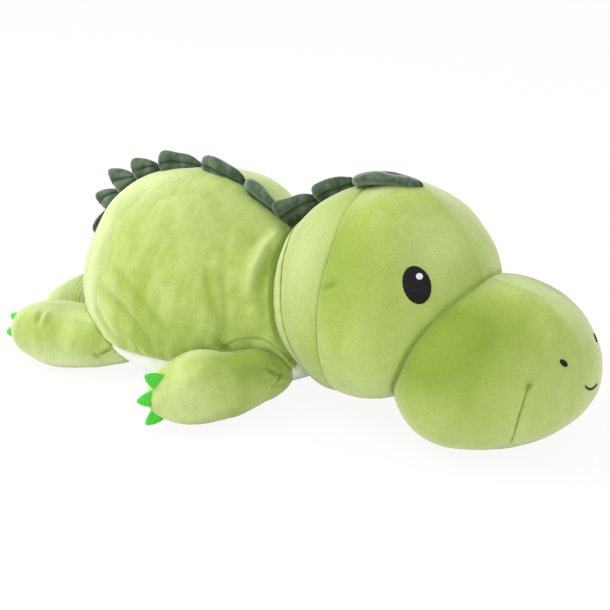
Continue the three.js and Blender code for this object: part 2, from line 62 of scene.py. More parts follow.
# %% Camera
MM = 0.001
TARGET = Vector((83.96, 0.0, 80.09)) * MM
AZIMUTH, ELEVATION, DISTANCE = math.radians(32.3), math.radians(19.9), 1.3692
LENS_PIXELS, FRAME_PIXELS = 1450.0, 610.0

back = Vector((math.sin(AZIMUTH) * math.cos(ELEVATION), -math.cos(AZIMUTH) * math.cos(ELEVATION),
               math.sin(ELEVATION)))
right = Vector((math.cos(AZIMUTH), math.sin(AZIMUTH), 0.0))
upward = back.cross(right)
camera = bpy.data.objects.new("camera", bpy.data.cameras.new("camera"))
camera.data.sensor_width = 36.0
camera.data.lens = camera.data.sensor_width * LENS_PIXELS / FRAME_PIXELS
camera.matrix_world = (Matrix.Translation(TARGET + back * DISTANCE)
                       @ Matrix((right, upward, back)).transposed().to_4x4())
bpy.context.collection.objects.link(camera)
bpy.context.scene.camera = camera
print("lens", round(camera.data.lens, 2), "mm")

# %% [markdown]
# ## Light and floor
#
# A toy like this is photographed in a white tent: light comes from everywhere, a little more from the
# upper left, and the white floor throws some back under the chin and the belly. The world gives the
# even part of it. A large soft lamp gives the direction, and a weaker one opens the far side.
# The floor is plain white to the camera but for a small share, which keeps a trace of the shadow.

# %% World, lamps and floor
SKY, SKY_STRENGTH, FLOOR_PLAIN = (0.97, 0.99, 1.0, 1.0), 0.84, 0.92
scene = bpy.context.scene
scene.view_settings.view_transform = "Standard"


def seen_directly(tree):
    """1 where a ray comes from the camera, a reflection or a clear material, else 0."""
    path = tree.nodes.new("ShaderNodeLightPath")
    total = path.outputs["Is Camera Ray"]
    for ray in ("Is Glossy Ray", "Is Transmission Ray"):
        larger = tree.nodes.new("ShaderNodeMath")
        larger.operation = "MAXIMUM"
        tree.links.new(total, larger.inputs[0])
        tree.links.new(path.outputs[ray], larger.inputs[1])
        total = larger.outputs[0]
    return total


def two_shaders(tree, output, share, first, second):
    """Ends a tree with a mix of two shaders: all the first at share 0, all the second at share 1."""
    mix = tree.nodes.new("ShaderNodeMixShader")
    for k, socket in enumerate((share, first.outputs[0], second.outputs[0])):
        tree.links.new(socket, mix.inputs[k])
    tree.links.new(mix.outputs[0], tree.nodes.new(output).inputs["Surface"])


world = bpy.data.worlds.new("tent")
scene.world = world
world.use_nodes = True
tree = world.node_tree
tree.nodes.clear()
lighting = tree.nodes.new("ShaderNodeBackground")
lighting.inputs["Color"].default_value = SKY
lighting.inputs["Strength"].default_value = SKY_STRENGTH
white = tree.nodes.new("ShaderNodeBackground")
white.inputs["Color"].default_value = (1.0, 1.0, 1.0, 1.0)
two_shaders(tree, "ShaderNodeOutputWorld", seen_directly(tree), lighting, white)


def soft_lamp(name, place, size, watts, tint=(1.0, 1.0, 1.0)):
    """Square lamp at a place in metres, turned to face the middle of the toy."""
    lamp = bpy.data.objects.new(name, bpy.data.lights.new(name, "AREA"))
    lamp.data.size = size
    lamp.data.energy = watts
    lamp.data.color = tint
    lamp.location = place
    lamp.rotation_mode = "QUATERNION"
    lamp.rotation_quaternion = (TARGET - Vector(place)).to_track_quat("-Z", "Y")
    bpy.context.collection.objects.link(lamp)


soft_lamp("lamp_upper_left", (-1.3, -0.8, 1.9), 1.5, 34.0, (1.0, 0.995, 0.98))
soft_lamp("lamp_front", (1.5, -1.8, 0.9), 1.6, 3.0)


def floor_material():
    """White floor: most of it plain white to the camera, the rest lit cloth with its shadow."""
    material = bpy.data.materials.new("white_floor")
    material.use_nodes = True
    tree = material.node_tree
    tree.nodes.clear()
    lit = tree.nodes.new("ShaderNodeBsdfDiffuse")
    lit.inputs["Color"].default_value = (0.93, 0.93, 0.93, 1.0)
    plain = tree.nodes.new("ShaderNodeEmission")
    plain.inputs["Strength"].default_value = 1.0
    share = tree.nodes.new("ShaderNodeMath")
    share.operation = "MULTIPLY"
    share.inputs[1].default_value = FLOOR_PLAIN
    tree.links.new(seen_directly(tree), share.inputs[0])
    two_shaders(tree, "ShaderNodeOutputMaterial", share.outputs[0], lit, plain)
    return material


corners = np.array([(-9, -9, 0), (9, -9, 0), (9, 9, 0), (-9, 9, 0)], float)
floor_mesh = bpy.data.meshes.new("floor")
floor_mesh.from_pydata(corners.tolist(), [], [(0, 1, 2, 3)])
floor = bpy.data.objects.new("floor", floor_mesh)
floor_mesh.materials.append(floor_material())
bpy.context.collection.objects.link(floor)

# %% [markdown]
# ## Stuffed forms
#
# A stuffed piece is measured as a tailor would: at a few stations along its path, the half width, the
# height above the path and the depth below it. A smooth curve through these measures gives every
# section between, and both ends close like a bag, because the section shrinks to nothing there.
# This is quicker to set against a photograph than sculpting, and every later step, such as where one
# piece meets the next, can be worked out from the same formula.

# %% Formula of a stuffed form
UP = np.array([0.0, 0.0, 1.0])


def through(stations, values, t):
    """Smooth curve through values at stations: a cubic between each two stations, whose slope at a
    station is that of the line between its two neighbours."""
    stations, values = np.asarray(stations, float), np.asarray(values, float)
    t = np.asarray(t, float)
    slopes = np.empty_like(values)
    slopes[0] = (values[1] - values[0]) / (stations[1] - stations[0])
    slopes[-1] = (values[-1] - values[-2]) / (stations[-1] - stations[-2])
    gaps = (stations[2:] - stations[:-2]).reshape((-1,) + (1,) * (values.ndim - 1))
    slopes[1:-1] = (values[2:] - values[:-2]) / gaps
    i = np.clip(np.searchsorted(stations, t, side="right") - 1, 0, len(stations) - 2)
    h = stations[i + 1] - stations[i]
    x = (t - stations[i]) / h
    if values.ndim > 1:
        h, x = h[..., None], x[..., None]
    return ((2 * x**3 - 3 * x**2 + 1) * values[i] + (x**3 - 2 * x**2 + x) * h * slopes[i]
            + (3 * x**2 - 2 * x**3) * values[i + 1] + (x**3 - x**2) * h * slopes[i + 1])


def unit(v):
    """Vectors scaled to length one."""
    return v / np.maximum(np.linalg.norm(v, axis=-1, keepdims=True), 1e-12)


def signed_power(v, power):
    """Size of v to a power, with the sign of v."""
    return np.sign(v) * np.abs(v) ** power


def running_length(points):
    """Length along a line of points, up to each of them."""
    return np.concatenate([[0], np.cumsum(np.linalg.norm(np.diff(points, axis=0), axis=1))])


def form(stations, centres, widths, crowns, depths, above, below, ends):
    """Measures of one stuffed form, in mm."""
    return dict(stations=stations, centres=np.array(centres, float), widths=widths, crowns=crowns,
                depths=depths, above=above, below=below, ends=ends)


def straight(start, end, stations):
    """Points on a straight path at the stations."""
    start, end = np.array(start, float), np.array(end, float)
    return [start + (end - start) * s for s in stations]


def axes(f, t):
    """Centre of the section at t, and its directions ahead, to the side and up."""
    step = 1 / 1024
    ahead = unit(through(f["stations"], f["centres"], np.minimum(t + step, 1))
                 - through(f["stations"], f["centres"], np.maximum(t - step, 0)))
    side = unit(np.cross(UP, ahead))
    return through(f["stations"], f["centres"], t), ahead, side, np.cross(ahead, side)


def skin(f, t, angle, grow=0.0):
    """Point of the form's skin at share t of its path and at an angle round it, 0 to the left side and
    a quarter turn to the top: the centre plus half width times cos, plus height times sin, where cos
    and sin are raised to 2 / power and both radii shrink to nothing at the ends as
    (4 t (1 - t)) to the end power. Grow moves the whole skin outward."""
    t, angle = np.broadcast_arrays(np.asarray(t, float), np.asarray(angle, float))
    centre, ahead, side, above = axes(f, t)
    swell = np.maximum(4 * t * (1 - t), 0) ** f["ends"]
    c, s = np.cos(angle), np.sin(angle)
    power = np.where(s >= 0, f["above"], f["below"])
    across, rise = signed_power(c, 2 / power), signed_power(s, 2 / power)
    half = (through(f["stations"], f["widths"], t) + grow) * swell
    reach = (np.where(s >= 0, through(f["stations"], f["crowns"], t),
                      through(f["stations"], f["depths"], t)) + grow) * swell
    return (centre + ahead * (grow * (2 * t - 1))[..., None]
            + side * (half * across)[..., None] + above * (reach * rise)[..., None])


def round_shares(run, start=0.0, end=1.0):
    """Shares from start to end of the path, closer together towards its ends, where the skin curves
    most: half of 1 - cos of an angle that grows evenly."""
    first, last = np.arccos(1 - 2 * np.asarray(start)), np.arccos(1 - 2 * np.asarray(end))
    return (1 - np.cos(first + run * (last - first))) / 2


# %% [markdown]
# Two questions come up again and again: how far is a point outside another form, and at which share
# and angle does it lie on it. Both have an answer in closed form where the path is straight.

# %% Inside or outside, and where on it
def local(f, points):
    """Share along a straight path, and the offsets sideways and upward from it."""
    start, end = f["centres"][0], f["centres"][-1]
    length = np.linalg.norm(end - start)
    ahead = (end - start) / length
    side = unit(np.cross(UP, ahead))
    offset = points - start
    return offset @ ahead / length, offset @ side, offset @ np.cross(ahead, side)


def ratios(f, points, grow=0.0):
    """Share t, the sideways and upward offsets as shares of the widest radii there, their common size by
    the section's power, and that power."""
    t, across, rise = local(f, points)
    inside = np.clip(t, 0, 1)
    reach = np.where(rise >= 0, through(f["stations"], f["crowns"], inside),
                     through(f["stations"], f["depths"], inside))
    power = np.where(rise >= 0, f["above"], f["below"])
    a = across / (through(f["stations"], f["widths"], inside) + grow)
    b = rise / (reach + grow)
    return t, a, b, (np.abs(a) ** power + np.abs(b) ** power) ** (1 / power), power


def outside(f, points, grow=0.0):
    """About how many mm a point lies outside the form, less than 0 inside: the offset from the path
    less what the section's own radius is in that direction, or the distance past the nearer end."""
    t, _, _, size, _ = ratios(f, points, grow)
    along, across, rise = local(f, points)
    past = np.maximum(along - 1, -along) * np.linalg.norm(f["centres"][-1] - f["centres"][0])
    t = np.clip(t, 1e-5, 1 - 1e-5)
    aside = np.hypot(across, rise) * (1 - (4 * t * (1 - t)) ** f["ends"] / np.maximum(size, 1e-6))
    return np.maximum(aside, past)


def level(f, points):
    """0 on the form, less inside it and more outside: the size of the offset to the power 1 / ends,
    less 4 t (1 - t). Unlike the offset itself it runs evenly over the round ends."""
    t, _, _, size, _ = ratios(f, points)
    return size ** (1 / f["ends"]) - 4 * t * (1 - t)


def place_on(f, points):
    """Share and angle of points that lie on the form."""
    t, a, b, _, power = ratios(f, points)
    return t, np.arctan2(signed_power(b, power / 2), signed_power(a, power / 2))


def first_share(f, angle, away, low, high):
    """Share at which the skin, going from low to high at each angle, passes from one side of another
    surface to the other: forty halvings of the range."""
    low = np.full(np.shape(angle), float(low))
    high = np.full(np.shape(angle), float(high))
    at_low = away(skin(f, low, angle)) > 0
    for _ in range(40):
        middle = (low + high) / 2
        same = (away(skin(f, middle, angle)) > 0) == at_low
        low, high = np.where(same, middle, low), np.where(same, high, middle)
    return (low + high) / 2


# %% [markdown]
# The measures, in millimetres, with the muzzle towards +X and the floor at 0.

# %% Measures of the forms
QUARTERS = [0, 0.25, 0.5, 0.75, 1]
TORSO = form(QUARTERS, straight((-164.5, 0, 83), (164.5, 0, 83), QUARTERS),
             [98.0, 116.0, 114.0, 100.0, 82.0], [124.3, 119.9, 110.0, 77.0, 70.0], [83.5] * 5,
             1.88, 2.9, 0.48)
HEAD_STATIONS = [0, 0.2, 0.42, 0.7, 1]
HEAD = form(HEAD_STATIONS, straight((66.5, 0, 97), (282.5, 0, 97), HEAD_STATIONS),
            [88.0, 92.0, 96.6, 105.0, 88.0], [110.0, 111.0, 115.0, 120.5, 90.0],
            [68.1, 80.0, 82.0, 72.0, 60.0], 2.0, 2.1, 0.46)
THIRDS = [0, 0.33, 0.67, 1]
MUZZLE = form(THIRDS, straight((199.5, 0, 76), (370, 0, 52.5), THIRDS),
              [100.0, 102.0, 100.0, 93.0], [67.0, 77.0, 77.0, 66.0], [66.0, 68.7, 60.6, 44.7],
              2.0, 2.5, 0.38)
HALVES = [0, 0.5, 1]


def flipper(sign):
    """Front flipper, swept back along the body."""
    return form(HALVES, [(100.0, sign * 48.0, 40.9), (56.9, sign * 115.0, 32.5),
                         (28.0, sign * 162.1, 26.4)],
                [36.0, 34.0, 36.0], [35.0, 33.0, 28.0], [35.0, 33.0, 29.7], 2.2, 2.2, 0.46)


def rear_leg(sign):
    """Rear leg, pointing backward."""
    return form(HALVES, [(-48.0, sign * 66.0, 37.5), (-141.1, sign * 78.0, 28.5),
                         (-190.8, sign * 106.0, 39.5)],
                [42.0, 40.0, 41.0], [28.0, 29.0, 32.0], [28.0, 29.0, 32.0], 2.2, 2.2, 0.46)


TAIL = form(HALVES, straight((-76, 0, 75), (-240, 0, 21.5), HALVES),
            [42.0, 33.6, 16.8], [46.0, 24.8, 17.0], [46.0, 45.1, 38.6], 2.0, 2.0, 0.5)

NECK = np.array([161.5, 0.0, 97.0])
NECK_RADIUS, NECK_CROWN, NECK_DEPTH = 95.0, 112.0, 81.0
HEAD_SEAM = 155.5
BELLY_SEAM = 41.0


def outside_neck(points, grow=0.0):
    """About how many mm a point lies outside the neck's round surface."""
    q = points - NECK
    height = np.where(q[..., 2] >= 0, NECK_CROWN, NECK_DEPTH) + grow
    size = np.sqrt((q[..., 0] ** 2 + q[..., 1] ** 2) / (NECK_RADIUS + grow) ** 2
                   + (q[..., 2] / height) ** 2)
    return np.linalg.norm(q, axis=-1) * (1 - 1 / np.maximum(size, 1e-6))


print("forms ready; the torso is", round(2 * max(TORSO["widths"])), "mm wide")

# %% [markdown]
# ## What makes it look sewn
#
# A bare form looks blown from glass. Four things turn it into cloth: soft lumps from the stuffing, a
# skin that dives into each seam, gathers that run out from the seam, and creases where the filling
# pulls. Each is one small function that says how far the skin moves along its own outward direction,
# so they simply add up. All are even curves, so the same call gives the same toy every time.

# %% Lumps, seams, gathers and creases
def lumps(points, size, seed, stretch=(1.0, 1.0, 1.0), waves=28):
    """Soft lumps about one unit high: the sum of sine waves in fixed random directions, whose lengths
    lie round size mm. Stretch makes them longer along x, y or z."""
    rng = np.random.default_rng(seed)
    direction = unit(rng.normal(size=(waves, 3))) / np.array(stretch)
    turns = 2 * np.pi / size * rng.uniform(0.6, 1.4, waves)
    phase = rng.uniform(0, 2 * np.pi, waves)
    flat = points.reshape(-1, 3) @ (direction * turns[:, None]).T + phase
    return (np.sin(flat).sum(1) / math.sqrt(waves / 2)).reshape(points.shape[:-1])


def bell(distance, width):
    """1 at the line, falling smoothly to nothing at about twice the width."""
    return np.exp(-((distance / width) ** 2))


def line_distance(points, line):
    """Distance from each point to a bent line, and the share along it of the nearest place."""
    line = np.array(line, float)
    line = through(np.linspace(0, 1, len(line)), line, np.linspace(0, 1, 6 * len(line)))
    along = running_length(line)
    along = along / along[-1]
    best = np.full(points.shape[:-1], 1e9)
    where = np.zeros(points.shape[:-1])
    for a, b, s0, s1 in zip(line[:-1], line[1:], along[:-1], along[1:]):
        d = b - a
        k = np.clip((points - a) @ d / (d @ d), 0, 1)
        gap = np.linalg.norm(points - a - k[..., None] * d, axis=-1)
        nearer = gap < best
        best = np.where(nearer, gap, best)
        where = np.where(nearer, s0 + (s1 - s0) * k, where)
    return best, where


def crease(points, line, depth, width, shoulder=0.3, fade=0.6):
    """Groove along a line: in by depth at its middle, with a low shoulder on each side, and fading out
    towards both ends as a sine to the power fade. Returns the move and the painted shade of the groove,
    which is below 0 on a ridge."""
    low, high = np.min(line, 0) - 5 * width, np.max(line, 0) + 5 * width
    near = np.all((points > low) & (points < high), axis=-1)
    move, dark = np.zeros(points.shape[:-1]), np.zeros(points.shape[:-1])
    if near.any():
        distance, share = line_distance(points[near], line)
        strength = np.sin(np.pi * np.clip(share, 0.02, 0.98)) ** fade
        valley = bell(distance, width)
        move[near] = strength * depth * (shoulder * bell(distance - 2.1 * width, width) - valley)
        dark[near] = strength * valley * np.sign(depth)
    return move, dark


def under(value, level, softness):
    """1 where a value is below a level and 0 where it is above, passing smoothly over a few times the
    softness."""
    return 1 / (1 + np.exp((value - level) / softness))


def over(value, level, softness):
    """The other way round: 1 above the level and 0 below it."""
    return under(-value, -level, softness)


def mirrored_spot(points, centre, radii):
    """1 in the middle of an oval region, on both sides of the toy alike, falling smoothly outward."""
    offset = (points * (1, 0, 1) + np.abs(points) * (0, 1, 0) - centre) / np.array(radii, float)
    return np.exp(-(offset**2).sum(-1))


def spots(points, table):
    """Sum of such regions, each given by its height, centre and radii."""
    return sum(height * mirrored_spot(points, centre, radii) for height, centre, radii in table)


def gathers(edge, around, pitch, depth, reach, seed=1):
    """Little pleats that run out from a seam: a wave round the seam, each pleat a little wider or
    narrower than the next, dying out over the reach."""
    drift = 0.35 * np.sin(around / pitch * 0.61 + seed) + 0.3 * np.sin(around / pitch * 0.23 + 2 * seed)
    wave = np.sin(2 * np.pi * (around / pitch + drift))
    size = 0.6 + 0.4 * np.sin(around / pitch * 0.37 + 3 * seed)
    return depth * size * wave * np.exp(-edge / reach)


def outward(points, wrap=True):
    """Outward direction at each point of a grid: the cross product of its two slopes. A ring that is
    shrunk to a point takes the mean direction of the next one."""
    along = np.gradient(points, axis=0)
    if wrap:
        round_it = np.roll(points, -1, 1) - np.roll(points, 1, 1)
    else:
        round_it = np.gradient(points, axis=1)
    normal = unit(np.cross(along, round_it))
    for end, inner in ((0, 1), (-1, -2)):
        if np.ptp(points[end], axis=0).max() < 1e-6:
            normal[end] = unit(normal[inner].mean(0))
    middle = points.reshape(-1, 3).mean(0)
    return normal * np.sign((normal * (points - middle)).sum())


def rest(points, soft=1.2):
    """The floor holds the skin up: a height z below the floor becomes (z + sqrt(z z + s s)) / 2."""
    z = points[..., 2]
    points[..., 2] = (z + np.sqrt(z * z + soft * soft)) / 2
    return points


def distance_in(points, axis, end):
    """Length along the skin from one border of the grid."""
    moved = np.moveaxis(points, axis, 0)
    steps = np.linalg.norm(np.diff(moved, axis=0), axis=-1)
    lengths = np.concatenate([np.zeros((1,) + steps.shape[1:]), np.cumsum(steps, axis=0)])
    if end:
        lengths = lengths[-1] - lengths
    return np.moveaxis(lengths, 0, axis)


def angle_lengths(f):
    """Table of angles, and of the length round the form's middle section up to each of them."""
    angles = np.linspace(-np.pi, 3 * np.pi, 4001)
    return angles, running_length(skin(f, 0.5, angles))


def even_angles(f, count):
    """Angles in one turn that give points evenly spaced round the form's middle section."""
    angles, length = angle_lengths(f)
    start, stop = np.interp((0.0, 2 * np.pi), angles, length)
    return np.interp(start + (stop - start) * np.linspace(0, 1, count, endpoint=False), length, angles)


# %% [markdown]
# ## From a grid of points to a mesh
#
# One function sews a grid into a mesh: four-cornered faces between neighbouring rows, one vertex for a
# ring that is shrunk to a point, and faces turned outward by the sign of the enclosed volume. A second
# one closes the border that tucks into a neighbour, with a few rings that run to a point inside it.

# %% Grid to mesh
def tuck(points, inner, rings=4):
    """Adds rings that run from the last ring to an inner point, which closes the piece."""
    share = (np.arange(1, rings + 1) / rings)[:, None, None]
    return np.concatenate([points, points[-1] + (np.asarray(inner, float) - points[-1]) * share])


def extend(values, rings=4):
    """The same rings for a value that each point carries."""
    return np.concatenate([values, np.repeat(values[-1:], rings, axis=0)])


def sewn(points, wrap=True):
    """Vertices and faces of a grid, and which of the grid's points each vertex is. A ring that is shrunk
    to a point is one vertex."""
    rings, sides = points.shape[:2]
    index = np.arange(rings * sides).reshape(rings, sides)
    single = [end for end in (0, rings - 1) if np.ptp(points[end], axis=0).max() < 1e-6]
    for end in single:
        index[end] = index[end, 0]
    nxt = np.roll(index, -1, 1) if wrap else index[:, 1:]
    here = index if wrap else index[:, :-1]
    quads = np.stack([here[:-1], nxt[:-1], nxt[1:], here[1:]], -1).reshape(-1, 4)
    flat = points.reshape(-1, 3)
    used, quads = np.unique(quads, return_inverse=True)
    quads = quads.reshape(-1, 4)
    flat = flat[used]
    a, b, c, d = (flat[quads[:, k]] for k in range(4))
    middle = flat.mean(0)
    volume = (np.cross(b - middle, c - middle) * (a - middle)).sum() + (
        np.cross(c - middle, d - middle) * (a - middle)).sum()
    if volume < 0:
        quads = quads[:, ::-1]
    joined = np.any([quads[:, a] == quads[:, b] for a, b in ((0, 1), (1, 2), (2, 3), (0, 3))], axis=0)
    faces = quads[~joined].tolist() + [list(dict.fromkeys(row)) for row in quads[joined].tolist()]
    return flat, faces, used, index


def piece(name, points, body, material, wrap=True, painted_shade=None, painted_light=None, uv=None, node=None):
    """Mesh object of a grid in mm, riding on a body given by name and standing for a CAD node. Painted shade
    and painted light are marks from 0 to 1 that each point carries for the material."""
    flat, faces, used, _ = sewn(points, wrap)
    mesh = bpy.data.meshes.new(name)
    mesh.from_pydata((flat * MM).tolist(), [], faces)
    mesh.polygons.foreach_set("use_smooth", np.ones(len(mesh.polygons), bool))
    for title, values in (("painted_shade", painted_shade), ("painted_light", painted_light)):
        if values is not None:
            mark = mesh.attributes.new(title, "FLOAT", "POINT")
            mark.data.foreach_set("value", np.clip(values, 0, 1).reshape(-1)[used].astype(np.float32))
    if uv is not None:
        corner = np.empty(len(mesh.loops), int)
        mesh.loops.foreach_get("vertex_index", corner)
        layer = mesh.uv_layers.new(name="thread")
        layer.data.foreach_set("uv", uv.reshape(-1, 2)[used][corner].astype(np.float32).reshape(-1))
    mesh.update()
    mesh.materials.append(material)
    made = bpy.data.objects.new(name, mesh)
    bpy.context.collection.objects.link(made)
    if isinstance(body, str):
        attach(made, body)
    else:
        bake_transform(made)
    if node:
        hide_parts(node)
    print(f"{name}: {sum(len(f) - 2 for f in faces)} triangles")


# %% [markdown]
# The stuffing presses each skin outward, but a seam holds it: that is why cloth puckers beside a seam
# and bulges away from it. Such a shape is what cloth simulation is for. A coarse copy of the skin, cut a
# little larger than its form, is held at its seams and blown up for a few frames. How far each point
# has gone outward is then added to the fine skin, whose own lumps and creases stay as they are.

# %% Filling a skin
def filled(points, held, wrap=True, every=4, pressure=4.0, slack=0.03, frames=16, most=3.0):
    """How far the stuffing pushes each point of a grid outward, in mm: the way of a simulated coarse copy
    along its outward direction, no more than most as most tanh(way / most), read between its points as
    a smooth curve in both directions. Held is 1 at the seams."""
    rows = np.unique(np.append(np.arange(0, points.shape[0], every), points.shape[0] - 1))
    columns = np.arange(0, points.shape[1], every)
    if not wrap:
        columns = np.unique(np.append(columns, points.shape[1] - 1))
    coarse = points[np.ix_(rows, columns)]
    flat, faces, used, index = sewn(coarse, wrap)
    vertex = np.searchsorted(used, index)
    mesh = bpy.data.meshes.new("filling")
    mesh.from_pydata((flat * MM).tolist(), [], faces)
    bag = bpy.data.objects.new("filling", mesh)
    bpy.context.collection.objects.link(bag)
    seams = np.unique(vertex[held[np.ix_(rows, columns)] > 0.5])
    bag.vertex_groups.new(name="seam").add(seams.tolist(), 1.0, "REPLACE")
    cloth = bag.modifiers.new("cloth", "CLOTH")
    cloth.settings.vertex_group_mass = "seam"
    cloth.settings.use_pressure = True
    cloth.settings.uniform_pressure_force = pressure
    cloth.settings.shrink_min = -slack
    cloth.settings.effector_weights.gravity = 0.0
    cloth.collision_settings.use_collision = False
    cloth.point_cache.frame_end = frames
    for frame_number in range(1, frames + 1):
        scene.frame_set(frame_number)
    blown = bag.evaluated_get(bpy.context.evaluated_depsgraph_get()).data
    after = np.empty(3 * len(flat))
    blown.vertices.foreach_get("co", after)
    scene.frame_set(1)
    bpy.data.objects.remove(bag)
    bpy.data.meshes.remove(mesh)
    way = (after.reshape(-1, 3) / MM - flat)[vertex]
    way = (way * outward(coarse, wrap)).sum(-1)
    print(f"filling: {len(flat)} points, moved {way.min():.1f} to {way.max():.1f} mm, mean {way.mean():.1f}")
    soft = np.pad(way, 1, mode="edge")
    way = (soft[:-2, 1:-1] + soft[2:, 1:-1] + soft[1:-1, :-2] + soft[1:-1, 2:] + 4 * way) / 8
    way = np.where(held[np.ix_(rows, columns)] > 0.5, 0.0, most * np.tanh(way / most))
    way[0] = way[0].mean()
    way = through(rows, way, np.arange(points.shape[0]))
    if wrap:
        count = points.shape[1]
        columns = np.concatenate([columns[-2:] - count, columns, columns[:2] + count])
        way = np.concatenate([way[:, -2:], way, way[:, :2]], 1)
    return through(columns, way.T, np.arange(points.shape[1])).T


# %% [markdown]
# ## Finishes
#
# The body cloth is minky, a knitted plush with a very short dense pile. Wherever a hand has brushed the
# pile it shows lighter or deeper, in soft streaks; close up it is a fine speckle. Each finish is built
# from shader groups, so the brushed pile of the body, the belly and the crest is one group with
# different values. Patterns are read from object coordinates, in metres, so they have their real size.

# %% Helpers for node groups
def colour(r, g, b):
    """Colour written as on the screen, 0 to 255, as the linear colour that Blender mixes."""
    v = np.array([r, g, b]) / 255
    linear = np.where(v <= 0.04045, v / 12.92, ((v + 0.055) / 1.055) ** 2.4)
    return (*linear.tolist(), 1.0)


def group(name, inputs, outputs):
    """Empty shader group with named sockets. Returns the tree and its two end nodes."""
    tree = bpy.data.node_groups.new(name, "ShaderNodeTree")
    kinds = {"c": "NodeSocketColor", "f": "NodeSocketFloat", "v": "NodeSocketVector"}
    for title, kind, value in inputs:
        tree.interface.new_socket(name=title, in_out="INPUT", socket_type=kinds[kind]).default_value = value
    for title, kind in outputs:
        tree.interface.new_socket(name=title, in_out="OUTPUT", socket_type=kinds[kind])
    return tree, tree.nodes.new("NodeGroupInput"), tree.nodes.new("NodeGroupOutput")


def math_node(tree, operation, a, b=None, c=None):
    """One arithmetic step; each input is a socket or a number."""
    node = tree.nodes.new("ShaderNodeMath")
    node.operation = operation
    for k, value in enumerate((a, b, c)):
        if value is None:
            continue
        if isinstance(value, (int, float)):
            node.inputs[k].default_value = value
        else:
            tree.links.new(value, node.inputs[k])
    return node.outputs[0]


def noise(tree, vector, scale, detail=2.0, roughness=0.5):
    """Cloudy pattern of a size."""
    node = tree.nodes.new("ShaderNodeTexNoise")
    node.inputs["Scale"].default_value = scale
    node.inputs["Detail"].default_value = detail
    node.inputs["Roughness"].default_value = roughness
    tree.links.new(vector, node.inputs["Vector"])
    return node.outputs["Fac"]


def stretched(tree, vector, turn, scale):
    """Coordinates turned and stretched, for streaks."""
    node = tree.nodes.new("ShaderNodeMapping")
    node.inputs["Rotation"].default_value = turn
    node.inputs["Scale"].default_value = scale
    tree.links.new(vector, node.inputs["Vector"])
    return node.outputs[0]


def remap(tree, value, low, high, to_low=0.0, to_high=1.0):
    """A range of values spread smoothly over another."""
    node = tree.nodes.new("ShaderNodeMapRange")
    node.interpolation_type = "SMOOTHSTEP"
    for title, number in (("From Min", low), ("From Max", high), ("To Min", to_low), ("To Max", to_high)):
        node.inputs[title].default_value = number
    tree.links.new(value, node.inputs["Value"])
    return node.outputs["Result"]


def blend_colours(tree, share, a, b):
    """Two colours mixed by a share that is a socket; each colour is a socket or a colour."""
    node = tree.nodes.new("ShaderNodeMix")
    node.data_type = "RGBA"
    for key, value in ((0, share), (6, a), (7, b)):
        if isinstance(value, tuple):
            node.inputs[key].default_value = value
        else:
            tree.links.new(value, node.inputs[key])
    return node.outputs[2]


